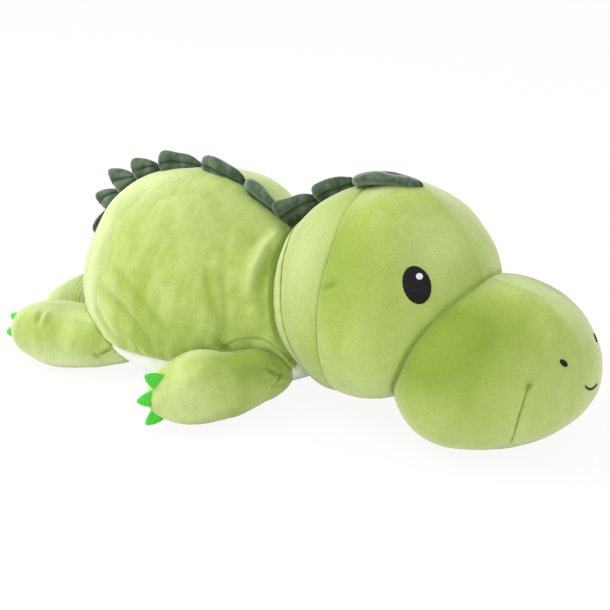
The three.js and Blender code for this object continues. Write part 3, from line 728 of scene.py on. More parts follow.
# %% Group: brushed pile
def brushed_pile():
    """Pile that a hand has brushed: broad clouds and long streaks between a deep and a pale shade, both made
    smaller by Finer, a fine speckle over them, and a fine uneven height. Painted light and a painted sheen,
    told by Painted Light from 0 to 1, mix in the pale Painted Light Colour, and painted shade, told by
    Painted Shade, deepens the colour whatever the rest."""
    tree, start, end = group("brushed_pile", [
        ("Cloth", "c", (0.5, 0.5, 0.5, 1)), ("Pale", "c", (0.8, 0.8, 0.8, 1)),
        ("Deep", "c", (0.2, 0.2, 0.2, 1)), ("Painted Light Colour", "c", (0.9, 0.9, 0.9, 1)), ("Place", "v", (0, 0, 0)),
        ("Painted Shade", "f", 0.0), ("Painted Light", "f", 0.0), ("Brushing", "f", 0.5), ("Speckle", "f", 0.5),
        ("Finer", "f", 1.0),
    ], [("Colour", "c"), ("Height", "f")])
    place = start.outputs["Place"]
    finer = tree.nodes.new("ShaderNodeVectorMath")
    finer.operation = "SCALE"
    tree.links.new(place, finer.inputs[0])
    tree.links.new(start.outputs["Finer"], finer.inputs["Scale"])
    broad = finer.outputs[0]
    clouds = remap(tree, noise(tree, broad, 7.0, 2.0), 0.38, 0.66)
    streaks = noise(tree, stretched(tree, broad, (0.5, 0.25, 0.3), (30, 30, 7)), 1.0, 3.0, 0.55)
    short = noise(tree, stretched(tree, broad, (0.2, -0.4, 0.9), (110, 40, 70)), 1.0, 2.0, 0.6)
    nap = math_node(tree, "MULTIPLY_ADD", streaks, 0.7, math_node(tree, "MULTIPLY", short, 0.3))
    nap = remap(tree, nap, 0.37, 0.64)
    share = math_node(tree, "MULTIPLY_ADD", nap, 0.6, math_node(tree, "MULTIPLY", clouds, 0.4))
    pale = math_node(tree, "MULTIPLY", share, start.outputs["Brushing"])
    base = blend_colours(tree, pale, start.outputs["Cloth"], start.outputs["Pale"])
    dim = math_node(tree, "MULTIPLY", math_node(tree, "SUBTRACT", 1.0, share), start.outputs["Brushing"])
    base = blend_colours(tree, math_node(tree, "MULTIPLY", dim, 0.35), base, start.outputs["Deep"])
    # Painted light and painted sheen: the pale colour mixed in by the Painted Light share.
    base = blend_colours(tree, start.outputs["Painted Light"], base, start.outputs["Painted Light Colour"])
    # Painted shade: where the mark is high the colour is deepened towards Deep, as shade in seams and
    # creases.
    base = blend_colours(tree, math_node(tree, "MULTIPLY", start.outputs["Painted Shade"], 0.75), base,
                         start.outputs["Deep"])
    grain = noise(tree, place, 1500.0, 2.0, 0.7)
    tufts = noise(tree, place, 520.0, 2.0, 0.6)
    grains = math_node(tree, "MULTIPLY_ADD", grain, 0.6, math_node(tree, "MULTIPLY", tufts, 0.4))
    light = remap(tree, grains, 0.3, 0.7, 0.84, 1.14)
    light = math_node(tree, "MULTIPLY_ADD", math_node(tree, "SUBTRACT", light, 1.0),
                      start.outputs["Speckle"], 1.0)
    lit = tree.nodes.new("ShaderNodeVectorMath")
    lit.operation = "SCALE"
    tree.links.new(base, lit.inputs[0])
    tree.links.new(light, lit.inputs["Scale"])
    tree.links.new(lit.outputs[0], end.inputs["Colour"])
    height = math_node(tree, "MULTIPLY_ADD", grains, 0.55, math_node(tree, "MULTIPLY", short, 0.45))
    tree.links.new(height, end.inputs["Height"])
    return tree


PILE = brushed_pile()


def principled(name, constants):
    """New material, its tree and its shader, with constants on the sockets that are named."""
    material = bpy.data.materials.new(name)
    material.use_nodes = True
    tree = material.node_tree
    shader = tree.nodes["Principled BSDF"]
    for title, value in constants.items():
        shader.inputs[title].default_value = value
    return material, tree, shader


def raise_surface(tree, shader, height, strength, distance, invert=False):
    """Bump: a height pattern turned into the shader's normal."""
    raised = tree.nodes.new("ShaderNodeBump")
    raised.inputs["Strength"].default_value = strength
    raised.inputs["Distance"].default_value = distance
    raised.invert = invert
    tree.links.new(height, raised.inputs["Height"])
    tree.links.new(raised.outputs[0], shader.inputs["Normal"])


def point_mark(tree, name):
    """Value that each point of the mesh carries under a name."""
    mark = tree.nodes.new("ShaderNodeAttribute")
    mark.attribute_name = name
    return mark.outputs["Fac"]


def cloth_material(name, shades, brushing, speckle, sheen=0.3, painted_light=0.6, bump=0.35, finer=1.0):
    """Material of a pile cloth: the shared group with its four shades (cloth, pale, deep, and the pale
    colour of painted light, which also tints the sheen), and a sheen. Towards grazing angles the pale colour
    is mixed in as a painted sheen, up to the share that is given, and where the piece's painted light mark
    is high it is mixed in whatever the angle."""
    material, tree, shader = principled(name, {
        "Roughness": 0.92, "Specular IOR Level": 0.2, "Sheen Weight": sheen, "Sheen Roughness": 0.4,
        "Sheen Tint": shades[3]})
    facing = tree.nodes.new("ShaderNodeLayerWeight")
    facing.inputs["Blend"].default_value = 0.5
    pile = tree.nodes.new("ShaderNodeGroup")
    pile.node_tree = PILE
    for title, value in (*zip(("Cloth", "Pale", "Deep", "Painted Light Colour"), shades), ("Brushing", brushing),
                         ("Speckle", speckle), ("Finer", finer)):
        pile.inputs[title].default_value = value
    tree.links.new(tree.nodes.new("ShaderNodeTexCoord").outputs["Object"], pile.inputs["Place"])
    tree.links.new(point_mark(tree, "painted_shade"), pile.inputs["Painted Shade"])
    # Painted sheen and painted light: the larger of the grazing share and the piece's painted light mark.
    aside = math_node(tree, "MAXIMUM", remap(tree, facing.outputs["Facing"], 0.3, 1.0, 0.0, painted_light),
                      math_node(tree, "MULTIPLY", point_mark(tree, "painted_light"), 0.9))
    tree.links.new(aside, pile.inputs["Painted Light"])
    tree.links.new(pile.outputs["Colour"], shader.inputs["Base Color"])
    raise_surface(tree, shader, pile.outputs["Height"], bump, 0.0008)
    return material


def shades(*screen):
    """Four screen colours for a pile cloth: cloth, pale, deep (also the colour of painted shade) and the
    pale colour of painted light.
    """
    return tuple(colour(*c) for c in screen)


# The fourth shade of each cloth is the pale colour of painted light and sheen; the deep shade also carries
# the painted shade. The face's deep shade is darker, which deepens the painted shade on head and muzzle
# most.
LIME = shades((172, 192, 92), (204, 221, 140), (130, 152, 50), (234, 240, 200))
LIME_FACE = (*LIME[:2], colour(120, 145, 34), LIME[3])
WHITE = shades((250, 251, 246), (254, 254, 252), (206, 210, 192), (254, 254, 252))
GREY_GREEN = shades((72, 88, 70), (116, 133, 112), (26, 40, 28), (190, 204, 184))
MINKY = cloth_material("lime_minky_body", LIME, 0.8, 0.5)
MINKY_FACE = cloth_material("lime_minky_face", LIME_FACE, 0.35, 0.6, sheen=0.24)
BELLY = cloth_material("white_plush", WHITE, 0.5, 0.5, sheen=0.2)
CREST = cloth_material("grey_green_plush", GREY_GREEN, 0.9, 0.9, sheen=0.35, painted_light=0.5, bump=0.5,
                       finer=4.0)

# %% [markdown]
# The claws are felt: matted fibres with no direction, so only speckle and bump. The eyes, nostrils and
# smile are satin stitch: threads laid side by side. Their pattern follows the piece, so it is read from
# a UV map that is laid out in millimetres across the patch.

# %% Felt, thread and the inner materials
def felt_material():
    """Matted fibres: two sizes of cloudy pattern in colour and height."""
    material, tree, shader = principled("claw_felt", {
        "Roughness": 0.95, "Specular IOR Level": 0.2, "Sheen Weight": 0.25,
        "Sheen Tint": colour(170, 240, 150)})
    place = tree.nodes.new("ShaderNodeTexCoord").outputs["Object"]
    matted = noise(tree, place, 700.0, 4.0, 0.75)
    hairs = noise(tree, stretched(tree, place, (0.4, 0.3, 0.8), (900, 2600, 900)), 1.0, 2.0)
    both = math_node(tree, "MULTIPLY_ADD", matted, 0.6, math_node(tree, "MULTIPLY", hairs, 0.4))
    tint = blend_colours(tree, remap(tree, both, 0.35, 0.65), colour(66, 196, 52), colour(108, 228, 88))
    tree.links.new(tint, shader.inputs["Base Color"])
    raise_surface(tree, shader, both, 0.5, 0.0006)
    return material


def satin_group():
    """Satin stitch: rounded threads side by side across the patch, each a little lighter or darker than the
    next, with ends that reach unevenly. The crown of each thread is painted towards the lit colour, a
    painted highlight."""
    tree, start, end = group("satin_stitch", [
        ("Thread", "c", (0, 0, 0, 1)), ("Lit", "c", (0.2, 0.2, 0.2, 1)), ("Pitch", "f", 0.45),
    ], [("Colour", "c"), ("Height", "f")])
    across = tree.nodes.new("ShaderNodeUVMap")
    across.uv_map = "thread"
    split = tree.nodes.new("ShaderNodeSeparateXYZ")
    tree.links.new(across.outputs[0], split.inputs[0])
    wobble = noise(tree, across.outputs[0], 0.35, 2.0)
    row = math_node(tree, "DIVIDE", math_node(tree, "MULTIPLY_ADD", wobble, 0.5, split.outputs["Y"]),
                    start.outputs["Pitch"])
    wave = math_node(tree, "SINE", math_node(tree, "MULTIPLY", row, 2 * math.pi))
    rounded = remap(tree, wave, -1.0, 0.6)
    own = tree.nodes.new("ShaderNodeTexWhiteNoise")
    own.noise_dimensions = "1D"
    tree.links.new(math_node(tree, "FLOOR", row), own.inputs["W"])
    shade = math_node(tree, "MULTIPLY_ADD", own.outputs["Value"], 0.6, 0.4)
    # Painted highlight: each thread's round crown goes towards the lit colour, as far as the thread's own
    # shade lets it.
    share = math_node(tree, "MULTIPLY", shade, rounded)
    tree.links.new(blend_colours(tree, share, start.outputs["Thread"], start.outputs["Lit"]),
                   end.inputs["Colour"])
    tree.links.new(rounded, end.inputs["Height"])
    return tree


SATIN = satin_group()


def thread_material(name, thread, lit, roughness):
    """Stitched patch of one thread."""
    material, tree, shader = principled(name, {"Roughness": roughness, "Specular IOR Level": 0.15})
    stitch = tree.nodes.new("ShaderNodeGroup")
    stitch.node_tree = SATIN
    stitch.inputs["Thread"].default_value = thread
    stitch.inputs["Lit"].default_value = lit
    tree.links.new(stitch.outputs["Colour"], shader.inputs["Base Color"])
    raise_surface(tree, shader, stitch.outputs["Height"], 0.55, 0.00025)
    return material


FELT = felt_material()
DARK_THREAD = thread_material("dark_thread", colour(20, 17, 18), colour(44, 40, 40), 0.6)
WHITE_THREAD = thread_material("white_thread", colour(226, 228, 232), colour(252, 252, 252), 0.5)
FIBRE = cloth_material("polyester_fibre", shades((244, 244, 240), (252, 252, 250), (214, 214, 208),
                                                 (252, 252, 250)), 0.8, 0.8, sheen=0.1, bump=0.9)
LINING = cloth_material("bag_lining", shades((214, 210, 200), (226, 222, 214), (176, 170, 156),
                                             (230, 226, 220)), 0.3, 0.4, sheen=0.1, painted_light=0.2)


def bead_material():
    """Small glass beads: round cells, each with its own shade."""
    material, tree, shader = principled("glass_beads", {"Roughness": 0.25})
    cells = tree.nodes.new("ShaderNodeTexVoronoi")
    cells.inputs["Scale"].default_value = 450.0
    tree.links.new(tree.nodes.new("ShaderNodeTexCoord").outputs["Object"], cells.inputs["Vector"])
    split = tree.nodes.new("ShaderNodeSeparateColor")
    tree.links.new(cells.outputs["Color"], split.inputs[0])
    tint = blend_colours(tree, split.outputs[0], colour(186, 198, 204), colour(224, 232, 236))
    tree.links.new(tint, shader.inputs["Base Color"])
    raise_surface(tree, shader, cells.outputs["Distance"], 1.0, 0.001, invert=True)
    return material


BEADS = bead_material()
print("materials", [m.name for m in bpy.data.materials])

# %% [markdown]
# ## The body cover and the belly panel
#
# The body is one bag of two cloths: the green cover, and a white panel under it, sewn together along a
# level line low on the flanks. The cover is a grid between that seam on one side and the same seam on
# the other. Its front border lies where the skin meets the round neck. The belly panel fills the rest,
# from the same formula, so the two borders are the same points and the seam is closed.

# %% Borders of the cover
def belly_angle(t):
    """Angle, below the side, at which the torso's skin is at the belly seam's height."""
    swell = (4 * t * (1 - t)) ** TORSO["ends"]
    drop = (TORSO["centres"][0][2] - BELLY_SEAM) / (TORSO["depths"][0] * np.maximum(swell, 1e-6))
    return -np.arcsin(np.clip(drop, 0, 1) ** (TORSO["below"] / 2))


rim_angles = np.linspace(-np.pi, 3 * np.pi, 1441)
rim_shares = first_share(TORSO, rim_angles, lambda p: outside_neck(p, 4.4), 0.5, 1.0)


def rim_share(angle):
    """Share at which the torso's skin reaches the neck, read from a table of angles."""
    return np.interp(angle, rim_angles, rim_shares)


def torso_grid(rings, columns, below=False):
    """Grid of shares and angles from the rear pole to the neck. The cover goes over the top from seam to
    seam, the belly goes under. The border's share depends on the angle and the seam's angle on the
    share, so the two are settled in a few rounds."""
    run, share = np.linspace(0, 1, rings)[:, None], np.linspace(0, 1, columns)
    t = np.broadcast_to(run * 0.8, (rings, columns)) + 1e-6
    angles, length = angle_lengths(TORSO)
    for _ in range(8):
        low = belly_angle(np.clip(t, 1e-6, 1))
        low, high = (np.pi - low, 2 * np.pi + low) if below else (low, np.pi - low)
        a, b = np.interp(low, angles, length), np.interp(high, angles, length)
        angle = np.interp(a + (b - a) * share, length, angles)
        t = np.clip(round_shares(run, end=rim_share(angle)), 1e-6, 1)
    t[0] = 0
    return t, angle


def torso_way(t, angle):
    """Direction in which the torso's skin grows; the cover and the belly move along the same one, so
    their common seam stays closed."""
    return unit(skin(TORSO, t, angle, 1.0) - skin(TORSO, t, angle))


# A dent high on the rear, and a swelling beside the spine at the middle of the body.
TORSO_SPOTS = [(-5.0, (-142, 45, 128), (40, 48, 42)), (4.0, (8, 55, 176), (36, 26, 26))]


def torso_lumps(points):
    """Lumps of the torso's stuffing, in mm: broad, middling and small, and its two spots."""
    return (1.0 * lumps(points, 95, 11) + 0.3 * lumps(points, 44, 12, (1.6, 1, 1))
            + 0.05 * lumps(points, 17, 13, (1, 1, 2.2)) + spots(points, TORSO_SPOTS))


def torso_moves(points, rim, seam):
    """Move of the torso's skin: its lumps, dips at the neck's rim and at the belly seam, and gathers
    along that seam."""
    move = torso_lumps(points) - 1.6 * bell(rim, 5.0) - 3.6 * bell(rim, 1.8) - 2.0 * bell(seam, 3.0)
    return move + gathers(seam, points[..., 0], 13, 0.3, 12, 5) * (1 - bell(seam, 3.0))


def rim_closed(points, t, angle):
    """The grid with two rings more, which turn in at the neck."""
    inner = skin(TORSO, np.clip(t[-1] + 0.01, 0, 1), angle[-1], -8.0)[None]
    return np.concatenate([points, points[-1:] * 0.5 + inner * 0.5, inner])


TORSO_T, TORSO_ANGLE = torso_grid(300, 320)
cover = skin(TORSO, TORSO_T, TORSO_ANGLE)
rim_x = cover[-1, :, 0]
print("cover grid", cover.shape, "rim x from", rim_x.min().round(1), "to", rim_x.max().round(1))

# %% [markdown]
# The creases are laid as lines on the cover, in millimetres. They follow the pull of the cloth: two
# soft streaks over the flipper that end in a pinch, long slack folds on the rear flank, and a deep fold
# that follows the neck seam. The far side gets the same lines, because the toy is sewn the same there.

# %% Creases of the cover
def both_sides(lines):
    """The lines, and their mirror images on the toy's left."""
    return lines + [(np.array(line) * (1, -1, 1), *rest_of) for line, *rest_of in lines]


def creased(points, move, painted_shade, lines, shade, *manner):
    """A move and a painted shade mark with creases added, each groove painted darker by the share given; the
    manner is a crease's shoulder and its fade.
    """
    for line, depth, width in lines:
        step, dark = crease(points, line, depth, width, *manner)
        move, painted_shade = move + step, painted_shade + shade * dark
    return move, painted_shade


NECK_RIDGE = both_sides([([(69.0, -22.0, 154.0), (70.5, -45.0, 147.0), (72.0, -58.0, 140.0),
                           (73.3, -72.1, 127.8), (76.0, -80.0, 112.0)], -4.2, 5.0)])
COVER_LINES = NECK_RIDGE + both_sides([
    ([(73.2, -36.0, 149.2), (78.5, -55.6, 137.3), (84.4, -71.1, 121.0), (90.0, -78.2, 105.2),
      (95.2, -79.8, 84.8)], 4.2, 5.5),
    ([(31.3, -77.3, 151.2), (35.5, -89.9, 134.6), (46.7, -98.7, 107.9), (55.2, -99.3, 82.9),
      (57.2, -98.0, 64.6)], 1.5, 4.5),
    ([(45.0, -71.9, 147.3), (50.4, -84.6, 131.0), (58.9, -96.2, 98.0), (59.8, -97.0, 64.7)], 1.3, 3.8),
    ([(50.0, -99.0, 74.0), (56.0, -98.1, 62.0), (66.0, -95.0, 60.0)], 3.2, 4.0),
    ([(-81.3, -100.1, 98.8), (-59.8, -109.0, 93.5), (-41.3, -113.3, 84.6), (-21.2, -114.5, 68.4),
      (-6.2, -112.3, 53.0)], 2.0, 6.5),
    ([(-65.8, -99.6, 121.2), (-41.7, -109.6, 110.9), (-22.7, -113.6, 99.1), (-2.4, -114.1, 81.8),
      (14.0, -111.2, 61.8)], 1.6, 6.0),
    ([(-87.5, -98.3, 82.1), (-74.9, -104.0, 70.1), (-57.4, -108.6, 57.0), (-39.1, -110.9, 50.5)], 1.5, 5.0),
])
ARM_SEAM = both_sides([([(56.0, -98.1, 60.4), (64.2, -95.3, 68.0), (76.7, -89.5, 72.6),
                         (90.4, -82.5, 73.1), (98.0, -77.8, 68.4), (105.9, -71.8, 58.3),
                         (111.2, -65.2, 48.4)], 0.8, 1.1)])


# Painted shade low on the flank over the flipper and in the dent on the rear; painted light over the rear
# and along the top of the back.
COVER_PAINTED_SHADE = [(0.3, (25, 105, 55), (60, 40, 40)), (0.2, (-150, 50, 125), (40, 50, 45))]
COVER_PAINTED_LIGHT = [(0.1, (-165, 50, 90), (45, 60, 60)), (0.15, (-40, 60, 170), (90, 50, 40))]


def cover_moves(points, rim, seam, around):
    """Move of the cover's skin and its painted shade mark: those of the torso, gathers at the neck and the
    creases, with painted shade at the neck's rim, along the belly seam, in the creases and in two spots."""
    move = torso_moves(points, rim, seam) + gathers(rim, around, 17, 0.5, 16, 2) * (1 - bell(rim, 3.0))
    painted_shade = 0.5 * bell(rim, 3.0) + 0.4 * bell(seam, 1.6) + spots(points, COVER_PAINTED_SHADE)
    move, painted_shade = creased(points, move, painted_shade, COVER_LINES, 0.5)
    return creased(points, move, painted_shade, ARM_SEAM, 0.8, 0.5, 0.15)


def cover_painted_light(points):
    """Painted light on the cover: over the rear, along the top of the back, and a painted highlight on the
    ridge beside the neck."""
    # The ridge's crease shade is below 0, so taking it away paints a highlight along the ridge.
    folds = sum(crease(points, *line)[1] for line in NECK_RIDGE)
    return spots(points, COVER_PAINTED_LIGHT) - 0.35 * folds


rim = distance_in(cover, 0, True)
border = np.minimum(distance_in(cover, 1, False), distance_in(cover, 1, True))
seam_turn = belly_angle(np.clip(TORSO_T, 1e-6, 1)) + np.pi / 2
low_side = np.where(seam_turn > 0.02, border, 60.0)
under_rear = np.clip(1 - seam_turn / 0.5, 0, 1) * bell(border, 30)
move, painted_shade = cover_moves(cover, rim, low_side, TORSO_ANGLE * 85)
held = np.zeros(cover.shape[:2])
held[-1], held[:, 0], held[:, -1] = 1.0, 1.0, 1.0
filling = filled(cover + torso_way(TORSO_T, TORSO_ANGLE) * move[..., None], held, wrap=False)
move = move + filling * (1 - under_rear) - 1.8 * (1 - bell(np.minimum(rim, low_side), 25))
cover = rim_closed(cover + torso_way(TORSO_T, TORSO_ANGLE) * move[..., None], TORSO_T, TORSO_ANGLE)
piece("torso_cover_skin", rest(cover), "torso", MINKY, wrap=False, painted_shade=extend(painted_shade, 2),
      painted_light=cover_painted_light(cover), node="torso_cover")

# %% Belly panel
t, angle = torso_grid(150, 150, below=True)
belly = skin(TORSO, t, angle)
seam = np.minimum(distance_in(belly, 1, False), distance_in(belly, 1, True))
seam = np.where(belly_angle(np.clip(t, 1e-6, 1)) > -np.pi / 2 + 0.02, seam, 0.0)
move = torso_moves(belly, distance_in(belly, 0, True), seam)
belly = rim_closed(belly + torso_way(t, angle) * move[..., None], t, angle)
# Painted shade along the belly seam.
piece("belly_panel_skin", rest(belly), "torso", BELLY, wrap=False,
      painted_shade=extend(0.5 * bell(seam, 3.0), 2), node="belly_panel")

# %% [markdown]
# ## Neck: a rolled band, and the back panel of the head
#
# Behind the head a ring of the body cloth is folded into a soft roll between two seams, and a rounded
# panel joins it to the head. Both lie on one surface, round about an upright line, so that the head can
# turn inside the body's opening. The panel is a half ball. The band is a tube: its middle line is where
# that ball meets a tilted plane, and its section is a flat oval.

# %% Panel behind the head
BAND_TILT = math.tan(math.radians(16))
BAND_MIDDLE, BAND_HALF, BEND_HALF = 94.5, 16.5, 16.0
CHEEK_SWELLING = [(4.5, (125, 50, 26), (28, 38, 20))]
# Painted light in a spot on the upper side of the panel.
CHEEK_PAINTED_LIGHT = [(0.45, (128, 60, 155), (34, 60, 56))]


def head_lumps(points):
    """Lumps of the head's stuffing, in mm; the panel behind it shares them, so their seam stays closed."""
    return 0.9 * lumps(points, 90, 41) + 0.25 * lumps(points, 38, 42) + 0.05 * lumps(points, 14, 43)


def head_seam(edge, around):
    """Move of the skin on either side of the upright head seam: a sharp dip, a broad one and gathers."""
    return (gathers(edge, around, 14, 0.3, 12, 4) * (1 - bell(edge, 3.0)) - 0.8 * bell(edge, 1.4)
            - 0.8 * bell(edge, 11))


def round_grid(along, sides):
    """Grid of values along a piece and of angles round it."""
    return np.meshgrid(along, np.linspace(0, 2 * np.pi, sides, endpoint=False), indexing="ij")


def neck_ball(polar, angle):
    """Point of the neck's ball: polar 0 is its rear pole and a quarter turn its widest ring, whose
    height above the middle is the neck's crown and below it the neck's depth."""
    height = np.where(np.sin(angle) >= 0, NECK_CROWN, NECK_DEPTH)
    return NECK + np.stack([-NECK_RADIUS * np.cos(polar) + 0 * angle,
                            NECK_RADIUS * np.sin(polar) * np.cos(angle),
                            height * np.sin(polar) * np.sin(angle)], -1)


last_polar = math.acos((NECK[0] - HEAD_SEAM) / NECK_RADIUS)
polar, angle = round_grid(np.linspace(0, last_polar, 150), 260)
panel = neck_ball(polar, angle)
edge = distance_in(panel, 0, True)
under_band = under(panel[..., 0] + BAND_TILT * (panel[..., 2] - NECK[2]), 107.5, 0.8)
move = ((head_lumps(panel) + spots(panel, CHEEK_SWELLING)) * (1 - under_band) - 3.2 * under_band
        + head_seam(edge, angle * 90))
# Painted shade along the seam and under the band, and a little over the rest of the panel; painted light low
# down and in the spot.
painted_shade = 0.3 * bell(edge, 1.2) + 0.6 * under_band + 0.3 * (1 - under_band)
panel = panel + outward(panel) * move[..., None]
painted_light = 0.3 * under(panel[..., 2], 60, 14) + spots(panel, CHEEK_PAINTED_LIGHT)
piece("head_back_skin", rest(tuck(panel, NECK + (10, 0, 0))), "head", MINKY_FACE,
      painted_shade=extend(painted_shade), painted_light=extend(painted_light), node="head_back")

# %% [markdown]
# On the toy the band turns with the head: when the head nods, its rear edge stays at the body's rim and its
# front edge goes with the head.

# %% Neck band
def band_line(plane, angle, grow):
    """Where the ball, grown, meets the tilted plane that cuts the middle height at x = plane: along
    each direction round the neck, the root of the ball's equation, which is quadratic there."""
    c, s = np.cos(angle), np.sin(angle)
    radius, height = NECK_RADIUS + grow, np.where(s >= 0, NECK_CROWN, NECK_DEPTH) + grow
    x = plane - NECK[0]
    a = (BAND_TILT**2 * s**2 + c**2) / radius**2 + s**2 / height**2
    b = -2 * x * BAND_TILT * s / radius**2
    k = x**2 / radius**2 - 1
    reach = (-b + np.sqrt(b * b - 4 * a * k)) / (2 * a)
    return NECK + np.stack([x - BAND_TILT * reach * s, reach * c, reach * s], -1)


section, angle = round_grid(np.linspace(0, 2 * np.pi, 49), 320)
width, lift = np.cos(section), np.sin(section)
plane = BAND_MIDDLE + BAND_HALF * signed_power(width, 0.8)
wave = gathers(np.abs(16 * (1 - width)), angle * 80, 15, 0.2, 9, 3) * (lift > 0)
grow = 0.1 + 1.7 * signed_power(lift, 0.7) + wave + 0.25 * np.sin(3 * angle)
band = band_line(plane, angle, grow + head_lumps(band_line(plane, angle, 0.0)))
rear_point = NECK + np.array([BAND_MIDDLE - BEND_HALF - NECK[0], 0.0, 0.0])
front_point = rear_point + 2 * BEND_HALF / (1 + BAND_TILT**2) * np.array([1.0, 0.0, BAND_TILT])
# Painted shade along the band's front edge and a little over all of it; painted light on its outer side.
piece("neck_band_skin", rest(band), ("neck", "head", rear_point, front_point), MINKY,
      painted_shade=0.6 * bell(width - 1, 0.12) + 0.15, painted_light=0.1 * (lift > 0), node="neck_band")

# %% [markdown]
# ## Head and muzzle
#
# The head goes from its upright seam forward, and the muzzle is a second bag sewn to its face. Two round
# forms that pass through each other already give the seam's line. To make it a sewn seam, both skins
# dive where they meet: how far a point of one is outside the other says how near the seam is.

# %% Head
HEAD_LINES = both_sides([
    ([(157.5, -90.0, 136.5), (166.0, -90.8, 140.5), (175.0, -90.8, 145.0)], 1.6, 2.6),
])
BROW_SPOTS = [(-3.0, (216, 36, 202), (34, 38, 26)), (3.0, (252, 45, 156), (16, 25, 22))]
# Painted shade high on the side of the head near its back seam; painted light on the top towards the front.
HEAD_PAINTED_SHADE = [(0.45, (188, 85, 150), (40, 45, 55))]
HEAD_PAINTED_LIGHT = [(0.25, (255, 45, 185), (40, 45, 45))]

head_angles = even_angles(HEAD, 320)
head_rear, head_front = HEAD["centres"][0][0], HEAD["centres"][-1][0]
head_t = round_shares(np.linspace(0, 1, 210)[:, None], (HEAD_SEAM - head_rear) / (head_front - head_rear))
HEAD_T, HEAD_ANGLE = np.broadcast_arrays(head_t, head_angles[None])
head = skin(HEAD, HEAD_T, HEAD_ANGLE)
edge = distance_in(head, 0, False)
face_seam = np.abs(outside(MUZZLE, head))
low = under(head[..., 2], 95, 14)
move = (head_lumps(head) + head_seam(edge, HEAD_ANGLE * 95) - (0.8 + 1.0 * low) * bell(face_seam, 3.0)
        + spots(head, BROW_SPOTS))
# Painted shade along the back seam, along the muzzle seam and deeper low down there, in a spot, and high up
# beside the back seam; painted light low down and in a spot.
painted_shade = (0.3 * bell(edge, 1.2) + (0.5 + 0.3 * low) * bell(face_seam, 2.4) + spots(head, HEAD_PAINTED_SHADE)
        + 0.34 * bell(edge, 16) * over(head[..., 2], 112, 12))
painted_light = 0.35 * under(head[..., 2], 60, 14) + spots(head, HEAD_PAINTED_LIGHT)
move, painted_shade = creased(head, move, painted_shade, HEAD_LINES, 0.5)
HEAD_SKIN = head + outward(head) * move[..., None]
piece("head_skin", rest(tuck(HEAD_SKIN[::-1], NECK)), "head", MINKY_FACE,
      painted_shade=extend(painted_shade[::-1]), painted_light=extend(painted_light[::-1]), node="head")

# %% Muzzle
MUZZLE_LINES = both_sides([
    ([(344.4, -70.2, 81.7), (343.1, -75.7, 69.3), (339.2, -78.2, 48.7), (331.0, -70.0, 26.0),
      (323.8, -54.5, 12.0)], 1.1, 0.85),
    ([(345.5, -68.5, 84.0), (344.0, -71.5, 79.0)], 1.3, 2.4),
])
MUZZLE_CREST = [([(245, 0, 143), (272.4, -0.6, 142), (285, -5.3, 142.5), (297.6, -6, 141.4),
                  (312.9, -4.6, 137.5), (324.4, 1, 132.6), (332.2, 7, 127.8), (338.5, 8, 123.3),
                  (342.4, 10, 119.8)], 0.5, 1.2)]
SNOUT_SPOTS = [(-3.2, (312, 36, 132), (42, 34, 26)), (4.0, (258, 78, 20), (48, 28, 22))]
# Painted shade on the side of the muzzle and high on its side; painted light at its front.
MUZZLE_PAINTED_SHADE = [(1.3, (258, 90, 102), (66, 60, 46)), (0.5, (300, 62, 122), (42, 34, 20))]
MUZZLE_PAINTED_LIGHT = [(0.15, (365, 40, 75), (25, 50, 45))]

muzzle_angles = even_angles(MUZZLE, 260)
root = first_share(MUZZLE, muzzle_angles, lambda p: outside(HEAD, p, -3.0), 0.0005, 0.6)
print("muzzle leaves the face at shares", root.min().round(3), "to", root.max().round(3))
MUZZLE_T = round_shares(np.linspace(1, 0, 360)[:, None], root[None])
MUZZLE_ANGLE = np.broadcast_to(muzzle_angles[None], MUZZLE_T.shape)
muzzle = skin(MUZZLE, MUZZLE_T, MUZZLE_ANGLE)
edge = outside(HEAD, muzzle)
low = under(muzzle[..., 2], 95, 14)
move = (0.8 * lumps(muzzle, 85, 51) + 0.2 * lumps(muzzle, 34, 52) + 0.04 * lumps(muzzle, 13, 53)
        - (1.0 + 1.2 * low) * bell(edge, 3.4) + spots(muzzle, SNOUT_SPOTS))
# Painted shade along the face seam, deeper low down, in two spots, in the darts and along the top seam;
# painted light low down, at the front and on the far half of the top.
painted_shade = (0.5 + 0.3 * low) * bell(edge, 2.4) + spots(muzzle, MUZZLE_PAINTED_SHADE)
painted_light = (0.3 * under(muzzle[..., 2], 38, 12) + spots(muzzle, MUZZLE_PAINTED_LIGHT)
        + 0.4 * over(muzzle[..., 1], -4, 2.5) * over(muzzle[..., 2], 100, 8))
move, painted_shade = creased(muzzle, move, painted_shade, MUZZLE_LINES, 1.5, 0.35, 0.4)
move, painted_shade = creased(muzzle, move, painted_shade, MUZZLE_CREST, 0.45, 1.2, 0.9)
MUZZLE_SKIN = muzzle + outward(muzzle) * move[..., None]
piece("muzzle_skin", rest(tuck(MUZZLE_SKIN, (235, 0, 70))), "head", MINKY_FACE,
      painted_shade=extend(painted_shade), painted_light=extend(painted_light), node="muzzle")

# %% [markdown]
# ## Stitched face
#
# Eyes, nostrils and smile are embroidered on the cloth, so each is a thin raised patch that follows the
# skin under it. The patch is drawn flat first, as an oval of rings in its own plane, then every point
# is sent along the patch's normal to the skin, found there by share and angle, and lifted by the height
# of the stitches. Looking the place up in the finished skin keeps the patch on it whatever the lumps do.

